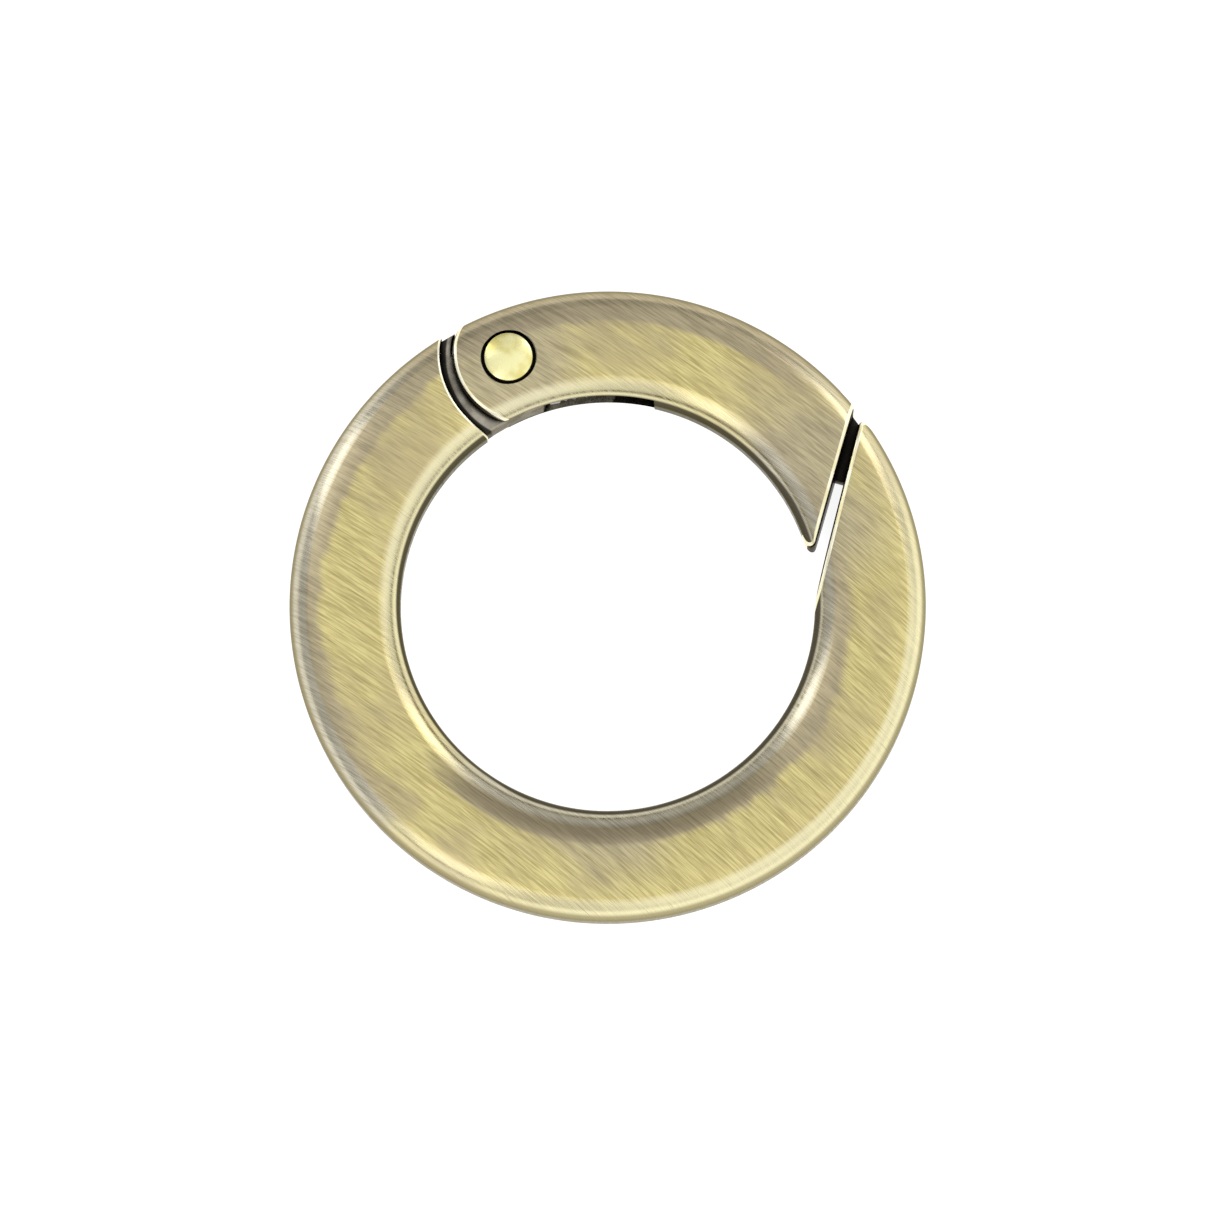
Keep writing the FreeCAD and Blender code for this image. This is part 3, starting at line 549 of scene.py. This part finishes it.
def dome(rim, rise, steps):
    """A dome's profile from its crown to its rim: (height above the rim, radius)."""
    radius = (rim**2 + rise**2) / (2 * rise)
    widest = math.asin(rim / radius)
    tilts = [widest * step / steps for step in range(steps + 1)]
    return [(radius * math.cos(t) - radius + rise, radius * math.sin(t)) for t in tilts]


def capped_end(rim_rise, rise):
    """One end of the rivet's profile, from its crown to the shank. Rises are above the seat."""
    seat, inner = TOP - BORE_DEPTH, HEAD_RADIUS - RIVET_EDGE
    crown = dome(HEAD_RADIUS, rise - rim_rise, DOME_STEPS)
    profile = [(seat + rim_rise + height, radius) for height, radius in crown if radius < inner]
    corner = seat + rim_rise - RIVET_EDGE * RIVET_EDGE_DROP
    for step in range(1, RIVET_EDGE_STEPS + 1):
        bend = math.pi / 2 * step / RIVET_EDGE_STEPS
        height = RIVET_EDGE * math.cos(bend) * RIVET_EDGE_FLATTENING
        profile.append((corner + height, inner + RIVET_EDGE * math.sin(bend)))
    return profile + [(seat, HEAD_RADIUS), (seat, SHANK_RADIUS)]


def make_rivet(brass):
    """The pin: a domed head and a lower tail on one shank."""
    head = capped_end(HEAD_RIM_RISE, HEAD_RISE)
    tail = capped_end(TAIL_RIM_RISE, TAIL_RISE)
    profile = head + [(-along, radius) for along, radius in reversed(tail)]
    rivet = lathe("rivet_pin", profile, RIVET, None, [brass])
    finish_piece(rivet, "hinge_rivet", BODY_OF["hinge_rivet"], crisp=40)


def make_follower(steel):
    """The plunger: a flat head against the tongue's nose, and a stem inside the coil."""
    front = NOSE_RADIUS + FOLLOWER_GAP
    back, edge = front + FOLLOWER_HEAD_LENGTH, FOLLOWER_EDGE
    bends = [math.pi / 2 * step / EDGE_STEPS for step in range(EDGE_STEPS + 1)]
    profile = [(front, 0), (front, FOLLOWER_HEAD - edge)]
    profile += [
        (front + edge * (1 - math.cos(bend)), FOLLOWER_HEAD - edge * (1 - math.sin(bend)))
        for bend in bends[1:]
    ]
    profile += [(back - edge / 2, FOLLOWER_HEAD), (back, FOLLOWER_HEAD - edge / 2), (back, FOLLOWER_STEM)]
    profile += [
        (FOLLOWER_REACH - edge * (1 - math.sin(bend)), FOLLOWER_STEM - edge * (1 - math.cos(bend)))
        for bend in bends
    ]
    profile.append((FOLLOWER_REACH, 0))
    follower = lathe("plunger", profile, SPRING_FOOT, SPRING_LINE, [steel])
    finish_piece(follower, "spring_follower", "follower", crisp=40)


def make_spring(steel):
    """The coil, with its end turns closed up as a real compression spring's are."""
    begin = NOSE_RADIUS + FOLLOWER_GAP + FOLLOWER_HEAD_LENGTH + WIRE_RADIUS + COIL_GAP
    length = SOCKET_END - WIRE_RADIUS - COIL_GAP - begin
    coil = COIL_RADIUS - WIRE_RADIUS
    open_pitch = (length - 2 * CLOSED_PITCH) / (COIL_TURNS - 2)
    up = Vector((0, 0, 1))
    foot, forward, sideways = SPRING_FOOT.to_3d(), SPRING_LINE.to_3d(), SPRING_ACROSS.to_3d()
    bm = bmesh.new()
    rings = []
    spots = [math.tau * side / WIRE_SIDES for side in range(WIRE_SIDES)]
    for step in range(COIL_TURNS * COIL_STEPS + 1):
        turn = step / COIL_STEPS
        opened = min(max(turn - 1, 0), COIL_TURNS - 2)
        along = CLOSED_PITCH * (turn - opened) + open_pitch * opened
        outward = sideways * math.cos(turn * math.tau) + up * math.sin(turn * math.tau)
        centre = foot + forward * (begin + along) + outward * coil
        spokes = [outward * math.cos(spot) + forward * math.sin(spot) for spot in spots]
        rings.append([bm.verts.new(centre + spoke * WIRE_RADIUS) for spoke in spokes])
    for here, there in zip(rings, rings[1:]):
        for side in range(WIRE_SIDES):
            following = (side + 1) % WIRE_SIDES
            bm.faces.new((here[side], here[following], there[following], there[side]))
    bm.faces.new(rings[0])
    bm.faces.new(reversed(rings[-1]))
    spring = mesh_object("coil_spring", bm, [steel])
    finish_piece(spring, "return_spring", "gate", crisp=40)
    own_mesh(spring)


# ---------------------------------------------------------------- materials


class Graph:
    """A short way to write shader nodes, for a material or for the world."""

    def __init__(self, tree):
        self.tree = tree

    def add(self, kind, inputs=(), **settings):
        """A node with its settings, and its inputs as numbers, colours or other nodes' outputs."""
        node = self.tree.nodes.new(kind)
        for setting, value in settings.items():
            setattr(node, setting, value)
        for key, value in dict(inputs).items():
            if isinstance(value, bpy.types.NodeSocket):
                self.tree.links.new(value, node.inputs[key])
            else:
                node.inputs[key].default_value = value
        return node

    def math(self, operation, first, second=0.5, third=0.5):
        inputs = {0: first, 1: second, 2: third}
        return self.add("ShaderNodeMath", inputs, operation=operation).outputs[0]

    def times(self, first, second):
        return self.math("MULTIPLY", first, second)

    def vector(self, operation, first, second=(0, 0, 0)):
        """A vector operation. Its outputs are "Vector" and "Value"."""
        inputs = {0: first, 1: second}
        return self.add("ShaderNodeVectorMath", inputs, operation=operation).outputs

    def dot(self, vector, direction):
        return self.vector("DOT_PRODUCT", vector, direction)["Value"]

    def ramp(self, value, low, high, to_low=0.0, to_high=1.0):
        """A smooth step of a value, from one level to another."""
        inputs = {"Value": value, "From Min": low, "From Max": high}
        inputs.update({"To Min": to_low, "To Max": to_high})
        return self.add("ShaderNodeMapRange", inputs, interpolation_type="SMOOTHSTEP").outputs[0]

    def mix(self, share, first, second):
        """From the first colour to the second as the share goes from 0 to 1."""
        inputs = {0: share, 6: first, 7: second}
        return self.add("ShaderNodeMix", inputs, data_type="RGBA").outputs[2]

    def noise(self, vector, scale, detail=2.0, roughness=0.5):
        inputs = {"Vector": vector, "Scale": scale, "Detail": detail, "Roughness": roughness}
        return self.add("ShaderNodeTexNoise", inputs, noise_dimensions="3D").outputs["Fac"]

    def occlusion(self, distance):
        """How open a place is: 0 in a tight corner, 1 with nothing near. Distance in millimetres."""
        inputs = {"Distance": distance * MM}
        return self.add("ShaderNodeAmbientOcclusion", inputs, samples=12).outputs["AO"]

    def bump(self, strength, distance, height):
        """A bumped normal. Distance in millimetres."""
        inputs = {"Strength": strength, "Distance": distance * MM, "Height": height}
        return self.add("ShaderNodeBump", inputs).outputs[0]


def new_material(name):
    material = bpy.data.materials.new(name)
    material.use_nodes = True
    material.node_tree.nodes.clear()
    return material, Graph(material.node_tree)


def finish_material(graph, inputs):
    """The material's surface, from the shader's inputs."""
    surface = graph.add("ShaderNodeBsdfPrincipled", inputs)
    graph.add("ShaderNodeOutputMaterial", {"Surface": surface.outputs[0]})


def rgb(red, green, blue):
    """A colour from display values of 0 to 255, by the sRGB curve."""
    levels = [value / 255 for value in (red, green, blue)]
    return (*[v / 12.92 if v <= 0.04045 else ((v + 0.055) / 1.055) ** 2.4 for v in levels], 1.0)


# Colours, from the dark to the light of the streaks or clouds where there are two.
BRASS = rgb(174, 160, 106), rgb(230, 217, 152)
DULLED_BRASS = rgb(184, 169, 132)
TARNISH = rgb(156, 145, 122), rgb(196, 185, 152)
# Painted highlights on the shoulders: pale all round, brighter where they face the light.
SHOULDER_HIGHLIGHT, LIT_SIDE_HIGHLIGHT = rgb(224, 217, 190), rgb(246, 240, 198)
GREY_PATINA = rgb(150, 139, 114), rgb(186, 173, 143)
PALE_PATINA = rgb(174, 167, 148), rgb(208, 202, 182)
# The first is painted shade on the inner shoulder that faces up the plan; the second is patina deepened
# with painted shade inside the eye; the third is the rim's patina.
PAINTED_INNER_SHADE, EYE_PATINA_AND_SHADE, RIM_PATINA = rgb(88, 78, 58), rgb(58, 54, 46), rgb(156, 146, 112)
# The second is painted shade for the corners, trenches and gaps of the casting.
SCRATCH_DIRT, CORNER_SHADE = rgb(118, 104, 74), rgb(12, 11, 9)
CASTING = rgb(146, 140, 126), rgb(176, 170, 154)
# Rubbed brass on the rounded edges, lightened nearly to white as a painted highlight.
WORN_HIGHLIGHT_BRASS = rgb(240, 231, 186), rgb(254, 250, 226)
RIVET_BRASS = rgb(222, 210, 132), rgb(248, 242, 182)
TURNED_STEEL = rgb(118, 115, 108), rgb(176, 173, 166)
# The coil's steel is kept dark as painted shade, for the coil seen inside its slot.
SHADE_DARK_SPRING_STEEL = rgb(46, 45, 42), rgb(92, 90, 85)

# The brush: its direction and how its strokes bend. Then the bearing the brightest light comes from,
# which the painted highlights face and the painted shade turns away from.
BRUSH_ANGLE = math.radians(-37)
STROKE_BEND = 0.003
STROKE_DEPTH = 4.0
LIGHT_SIDE = Vector((math.cos(math.radians(-42)), math.sin(math.radians(-42)), 0))

# Its marks: the length and width of each kind, and how far the crossing marks are turned.
HAIR, FINE, BROAD, CROSSED, SCRATCH = (1.3, 0.055), (3.0, 0.13), (9.0, 0.9), (2.6, 0.07), (2.4, 0.05)
CROSSING = math.radians(-16)

# Round areas that have kept more of their tarnish, each a centre and the radii where it is full
# and where it has gone: around the rivet and towards the beak on the gate, and below the eye and
# beside the latch on the ring.
GATE_TARNISH = ((RIVET, 2.4, 5.5), (Vector((12.6, 6.8)), 3.0, 8.5))
RING_TARNISH = ((Vector((0.4, -13.6)), 1.0, 5.0), (Vector((13.6, 4.4)), 0.8, 5.0))
TARNISH_WANDER = 1.6


def brush_marks(graph, size, turn=0.0, scale=1.0, detail=2.0, roughness=0.6):
    """Noise drawn out along the brush strokes, which bend a little. size is the length and width
    of its marks."""
    length, width = size
    angle = BRUSH_ANGLE + turn
    place = graph.add("ShaderNodeTexCoord").outputs["Object"]
    along = graph.dot(place, (math.cos(angle) / MM, math.sin(angle) / MM, 0))
    across = graph.dot(place, (-math.sin(angle) / MM, math.cos(angle) / MM, 0))
    upward = graph.dot(place, (0, 0, 1 / MM))
    across = graph.math("ADD", across, graph.times(graph.times(along, along), STROKE_BEND))
    inputs = {
        "X": graph.math("DIVIDE", along, length),
        "Y": graph.math("DIVIDE", across, width),
        "Z": graph.math("DIVIDE", upward, STROKE_DEPTH),
    }
    stretched = graph.add("ShaderNodeCombineXYZ", inputs).outputs[0]
    return graph.noise(stretched, scale, detail, roughness)


def brushed_brass(name, tarnished):
    """Antique brass plate, streaked along one brush direction. Faces that turn towards LIGHT_SIDE
    show bare brass, with painted highlights on their shoulders; grey patina, partly painted shade,
    covers those that turn away from it and the shoulders that face up the plan, and the wall inside
    the eye is dark, partly patina and partly painted shade. tarnished lists areas that were brushed
    less, as in GATE_TARNISH."""
    material, graph = new_material(name)
    coordinates = graph.add("ShaderNodeTexCoord")
    place, normal = coordinates.outputs["Object"], coordinates.outputs["Normal"]
    hair = brush_marks(graph, HAIR)
    fine = brush_marks(graph, FINE)
    broad = brush_marks(graph, BROAD, roughness=0.5)
    crossed = brush_marks(graph, CROSSED, turn=CROSSING)
    cloud = graph.noise(place, 0.16 / MM)
    streak = graph.math("MULTIPLY_ADD", hair, 0.5, graph.times(fine, 0.5))
    streak_tone = graph.ramp(streak, 0.34, 0.64)

    # How the surface lies. upright is 1 on a level face and 0 on a wall, lean the other way
    # round, heading is the way it leans in plan, and outward is -1 on a wall that faces the eye
    # and 1 on the rim.
    level_place = graph.vector("MULTIPLY", place, (1, 1, 0))["Vector"]
    level_normal = graph.vector("MULTIPLY", normal, (1, 1, 0))["Vector"]
    upright = graph.math("ABSOLUTE", graph.dot(normal, (0, 0, 1)))
    lean = graph.vector("LENGTH", level_normal)["Value"]
    heading = graph.vector("NORMALIZE", level_normal)["Vector"]
    outward = graph.dot(normal, graph.vector("NORMALIZE", level_place)["Vector"])
    facing = graph.dot(normal, tuple(LIGHT_SIDE))
    shoulder = graph.ramp(upright, 0.95, 0.84)

    # Patina, partly painted shade, on what turns away from LIGHT_SIDE and on shoulders that face up
    # the plan, with an edge that wanders with the brush marks.
    wander = facing
    for marks, amount in ((broad, 0.12), (cloud, 0.22), (hair, 0.10)):
        wander = graph.math("MULTIPLY_ADD", graph.math("SUBTRACT", marks, 0.5), amount, wander)
    up_the_plan = graph.ramp(graph.dot(heading, (0, 1, 0)), 0.6, 0.85)
    up_plan_patina_and_shade = graph.times(up_the_plan, graph.ramp(lean, 0.05, 0.12))
    patina_and_shade = graph.math("MAXIMUM", graph.ramp(wander, 0.0, -0.12), up_plan_patina_and_shade)

    # Bare brass: streaked, dulled in clouds, tarnished in places, and lightened on the shoulders as a
    # painted highlight, most on the side that faces LIGHT_SIDE.
    brass = graph.mix(graph.ramp(streak, 0.32, 0.66), *BRASS)
    dulling = graph.math("MULTIPLY_ADD", cloud, 0.84, graph.times(broad, 0.16))
    brass = graph.mix(graph.ramp(dulling, 0.55, 0.34, 0.0, 0.65), brass, DULLED_BRASS)
    tarnish = graph.mix(streak_tone, *TARNISH)
    for centre, full, gone in tarnished:
        distance = graph.vector("DISTANCE", level_place, (*(centre * MM), 0))["Value"]
        reach = graph.math("MULTIPLY_ADD", broad, TARNISH_WANDER * MM, distance)
        mean = TARNISH_WANDER / 2
        near = graph.ramp(reach, (gone + mean) * MM, (full + mean) * MM, 0.0, 0.8)
        brass = graph.mix(near, brass, tarnish)
    # Painted highlights: a pale sheen on all shoulders, and a brighter one on those facing LIGHT_SIDE.
    brass = graph.mix(graph.times(shoulder, 0.35), brass, SHOULDER_HIGHLIGHT)
    lit_shoulder = graph.times(graph.ramp(facing, 0.2, 0.6), shoulder)
    brass = graph.mix(graph.times(lit_shoulder, 0.45), brass, LIT_SIDE_HIGHLIGHT)

    # Patina, partly painted shade: grey where the face is nearly level and on the outer shoulder that
    # faces up the plan, paler on the other shoulders, and darkened further with painted shade on the
    # inner one that faces up the plan.
    grey = graph.mix(streak_tone, *GREY_PATINA)
    pale = graph.mix(streak_tone, *PALE_PATINA)
    pale = graph.mix(graph.times(up_plan_patina_and_shade, graph.ramp(outward, -0.1, 0.1)), pale, grey)
    colour = graph.mix(graph.times(patina_and_shade, 0.92), brass, graph.mix(shoulder, grey, pale))
    inner_shade = graph.times(up_plan_patina_and_shade, graph.ramp(outward, -0.03, -0.2, 0.0, 0.45))
    inner_shade = graph.times(inner_shade, graph.ramp(upright, 0.8, 0.96))
    colour = graph.mix(inner_shade, colour, PAINTED_INNER_SHADE)

    # Dark scratches; the wall inside the eye, dark as patina and painted shade, reaching higher on the
    # side that turns away from LIGHT_SIDE; and the rim.
    scratch_marks = brush_marks(graph, SCRATCH, scale=1.3, detail=1.0, roughness=0.5)
    scratches = graph.ramp(scratch_marks, 0.32, 0.22)
    colour = graph.mix(graph.times(scratches, 0.55), colour, SCRATCH_DIRT)
    away_from_light = graph.ramp(graph.dot(heading, tuple(LIGHT_SIDE)), -0.1, -0.35)
    steep = graph.ramp(graph.math("MULTIPLY_ADD", away_from_light, -0.10, upright), 0.54, 0.42)
    inside = graph.times(steep, graph.ramp(outward, -0.2, -0.5))
    colour = graph.mix(graph.times(inside, 0.93), colour, EYE_PATINA_AND_SHADE)
    rim = graph.times(graph.ramp(upright, 0.60, 0.40), graph.ramp(outward, 0.2, 0.5))
    colour = graph.mix(graph.times(rim, 0.8), colour, RIM_PATINA)

    rough = graph.math("MULTIPLY_ADD", shoulder, -0.10, graph.ramp(fine, 0.3, 0.7, 0.30, 0.40))
    height = graph.math("MULTIPLY_ADD", crossed, 0.4, hair)
    depth = graph.ramp(upright, 0.8, 0.98, 0.03, 0.3)
    tangent = graph.add(
        "ShaderNodeVectorTransform",
        {"Vector": (math.cos(BRUSH_ANGLE), math.sin(BRUSH_ANGLE), 0)},
        vector_type="VECTOR",
        convert_from="OBJECT",
        convert_to="WORLD",
    )
    inputs = {
        "Base Color": colour,
        "Metallic": 1.0,
        "Specular Tint": (0.5, 0.48, 0.42, 1.0),
        "Roughness": rough,
        "Anisotropic": 0.6,
        "Tangent": tangent.outputs[0],
        "Normal": graph.bump(depth, 0.008, height),
    }
    finish_material(graph, inputs)
    return material


def cast_recess():
    """Faces that no brush reaches: darkened, slightly grainy casting. Painted shade, nearly black,
    lies in the corners and narrow trenches, found by ambient occlusion, and everywhere from the foot
    of the ring's hinge end outwards, the latch included."""
    material, graph = new_material("darkened_casting")
    place = graph.add("ShaderNodeTexCoord").outputs["Object"]
    grain = graph.noise(place, 9 / MM, 3.0, 0.6)
    cloud = graph.noise(place, 1.1 / MM)
    casting = graph.mix(graph.ramp(cloud, 0.35, 0.65), *CASTING)
    # Painted shade: ambient occlusion darkens corners and narrow trenches.
    corner = graph.ramp(graph.occlusion(0.5), 0.58, 0.94)
    trench = graph.ramp(graph.occlusion(2.0), 0.22, 0.42, 0.2, 1.0)
    level_place = graph.vector("MULTIPLY", place, (1, 1, 0))["Vector"]
    from_hinge = graph.vector("DISTANCE", level_place, (*(RING_END * MM), 0))["Value"]
    reach = graph.math("DIVIDE", from_hinge, RING_END_RADIUS * MM)
    unshaded = graph.times(graph.times(corner, trench), graph.ramp(reach, 0.930, 0.950, 1.0, 0.10))
    inputs = {
        "Base Color": graph.mix(unshaded, CORNER_SHADE, casting),
        "Metallic": 1.0,
        "Specular Tint": (0.4, 0.38, 0.34, 1.0),
        "Roughness": graph.ramp(grain, 0.3, 0.7, 0.24, 0.34),
        "Normal": graph.bump(0.3, 0.01, grain),
    }
    finish_material(graph, inputs)
    return material


def worn_highlit_edge():
    """The rounded edges of the end faces, rubbed bright by handling and lightened nearly to white as a
    painted highlight.
    """
    material, graph = new_material("worn_highlit_edge")
    place = graph.add("ShaderNodeTexCoord").outputs["Object"]
    cloud = graph.noise(place, 0.5 / MM)
    grain = graph.noise(place, 8 / MM, 2.0, 0.6)
    inputs = {
        "Base Color": graph.mix(graph.ramp(cloud, 0.35, 0.65), *WORN_HIGHLIGHT_BRASS),
        "Metallic": 1.0,
        "Roughness": graph.ramp(grain, 0.3, 0.7, 0.36, 0.5),
    }
    finish_material(graph, inputs)
    return material


def polished_brass():
    """The rivet: bright plate over a lightly peened dome."""
    material, graph = new_material("rivet_brass")
    place = graph.add("ShaderNodeTexCoord").outputs["Object"]
    dents = graph.noise(place, 1.4 / MM, 1.0)
    cloud = graph.noise(place, 0.7 / MM)
    grain = graph.noise(place, 14 / MM, 2.0, 0.6)
    inputs = {
        "Base Color": graph.mix(graph.ramp(cloud, 0.38, 0.62), *RIVET_BRASS),
        "Metallic": 1.0,
        "Roughness": graph.ramp(grain, 0.3, 0.7, 0.26, 0.34),
        "Normal": graph.bump(0.3, 0.05, graph.math("MULTIPLY_ADD", grain, 0.03, dents)),
    }
    finish_material(graph, inputs)
    return material


def lined_steel(name, tones, fineness):
    """Drawn or turned steel, with fine lines square to the spring line. fineness is about how
    many lie in a millimetre."""
    material, graph = new_material(name)
    place = graph.add("ShaderNodeTexCoord").outputs["Object"]
    along = graph.dot(place, tuple(SPRING_LINE.to_3d() / MM))
    lines = graph.add("ShaderNodeCombineXYZ", {"X": graph.times(along, fineness)}).outputs[0]
    turning = graph.noise(lines, 1.0, 2.0, 0.6)
    cloud = graph.noise(place, 2 / MM)
    tone = graph.math("MULTIPLY_ADD", turning, 0.6, graph.times(cloud, 0.4))
    inputs = {
        "Base Color": graph.mix(tone, *tones),
        "Metallic": 1.0,
        "Roughness": graph.ramp(turning, 0.3, 0.7, 0.25, 0.4),
        "Normal": graph.bump(0.25, 0.01, turning),
    }
    finish_material(graph, inputs)
    return material


# ---------------------------------------------------------------- floor, light and camera


FLOOR_HALF, FLOOR_GREY, FLOOR_GLOW = 0.6, 0.3, 0.90


def make_floor():
    """A pale floor that glows a little, so that it comes out white around the ring."""
    corners = [(-1, -1), (1, -1), (1, 1), (-1, 1)]
    mesh = bpy.data.meshes.new("floor")
    mesh.from_pydata([(x * FLOOR_HALF, y * FLOOR_HALF, 0) for x, y in corners], [], [(0, 1, 2, 3)])
    floor = bpy.data.objects.new("floor", mesh)
    bpy.context.scene.collection.objects.link(floor)
    material, graph = new_material("pale_floor")
    inputs = {
        "Base Color": (FLOOR_GREY, FLOOR_GREY, FLOOR_GREY, 1),
        "Roughness": 0.8,
        "Emission Color": (1, 1, 1, 1),
        "Emission Strength": FLOOR_GLOW,
    }
    finish_material(graph, inputs)
    mesh.materials.append(material)


def softbox(name, azimuth, elevation, distance, width, height, brightness, colour):
    """An area light that faces the ring from a bearing and a height, both in degrees, with its
    distance and size in metres. Its brightness is what it adds, in a mirror, to the world
    behind it."""
    rise = math.radians(elevation)
    level = polar(math.cos(rise), math.radians(azimuth))
    direction = Vector((level.x, level.y, math.sin(rise)))
    data = bpy.data.lights.new(name, "AREA")
    data.shape = "RECTANGLE"
    data.size, data.size_y = width, height
    data.energy = brightness * math.pi * width * height
    data.color = colour
    light = bpy.data.objects.new(name, data)
    bpy.context.scene.collection.objects.link(light)
    light.location = direction * distance
    light.rotation_euler = direction.to_track_quat("Z", "Y").to_euler()
    light.visible_camera = False


def make_lights():
    """Strips that make the glints on the shoulders, two weak boxes, and a world that is brighter
    above and towards LIGHT_SIDE."""
    softbox("overhead", 90, 84, 0.5, 0.52, 0.52, 0.06, (1.0, 0.99, 0.985))
    softbox("light_side_box", 325, 42, 0.45, 0.98, 0.46, 0.20, (1.0, 0.98, 0.94))
    softbox("upper_left_strip", 146, 28, 0.45, 0.12, 0.44, 1.9, (0.97, 0.98, 1.0))
    softbox("lower_left_strip", 234, 36, 0.45, 0.13, 0.44, 1.4, (1.0, 0.99, 0.97))
    softbox("upper_right_strip", 44, 27, 0.45, 0.13, 0.34, 2.0, (1.0, 0.99, 0.97))
    world = bpy.data.worlds.new("studio")
    bpy.context.scene.world = world
    world.use_nodes = True
    graph = Graph(world.node_tree)
    direction = graph.add("ShaderNodeTexCoord").outputs["Generated"]
    brightest_at = (LIGHT_SIDE + Vector((0, 0, 1))).normalized()
    glow = graph.ramp(graph.dot(direction, tuple(brightest_at)), -0.4, 0.9, 0.60, 0.97)
    background = world.node_tree.nodes["Background"]
    background.inputs["Color"].default_value = (0.98, 0.985, 1.0, 1)
    graph.tree.links.new(glow, background.inputs["Strength"])


# The camera: the width that it sees, its distance, what it looks at and how it leans, in
# millimetres and angles from straight overhead. SENSOR is the camera's own width setting.
SENSOR = 36
SEEN_WIDTH, CAMERA_DISTANCE = 73.3, 600.0
AIM = Vector((-0.04, -0.02, TOP))
LEAN_RIGHT, LEAN_DOWN = math.radians(0.7), math.radians(8.3)


def make_camera():
    """Far off and nearly overhead, a little towards the viewer's side."""
    data = bpy.data.cameras.new("camera")
    data.sensor_width = SENSOR
    data.lens = SENSOR * CAMERA_DISTANCE / SEEN_WIDTH
    data.clip_start = 0.005
    data.clip_end = 10
    camera = bpy.data.objects.new("camera", data)
    bpy.context.scene.collection.objects.link(camera)
    aim = AIM * MM
    towards = Vector((math.sin(LEAN_RIGHT), -math.sin(LEAN_DOWN), math.cos(LEAN_DOWN)))
    camera.location = aim + towards.normalized() * CAMERA_DISTANCE * MM
    backward = (camera.location - aim).normalized()
    right = Vector((0, 1, 0)).cross(backward).normalized()
    axes = Matrix((right, backward.cross(right), backward)).transposed()
    camera.rotation_euler = axes.to_euler()
    bpy.context.scene.camera = camera


# ---------------------------------------------------------------- the scene

BODY_OF = {
    node: body for body, nodes in frame["record"]["behaviour"]["bodies"].items() for node in nodes
}

RECESS = cast_recess()
EDGE = worn_highlit_edge()
make_ring(brushed_brass("ring_brass", RING_TARNISH), RECESS, EDGE)
make_gate(brushed_brass("gate_brass", GATE_TARNISH), RECESS, EDGE)
make_rivet(polished_brass())
make_follower(lined_steel("turned_steel", TURNED_STEEL, 9))
# The coil is coloured dark as painted shade inside the gate's slot.
make_spring(lined_steel("shade_dark_spring_steel", SHADE_DARK_SPRING_STEEL, 3))
make_floor()
make_lights()
make_camera()
bpy.context.scene.view_settings.view_transform = "Standard"
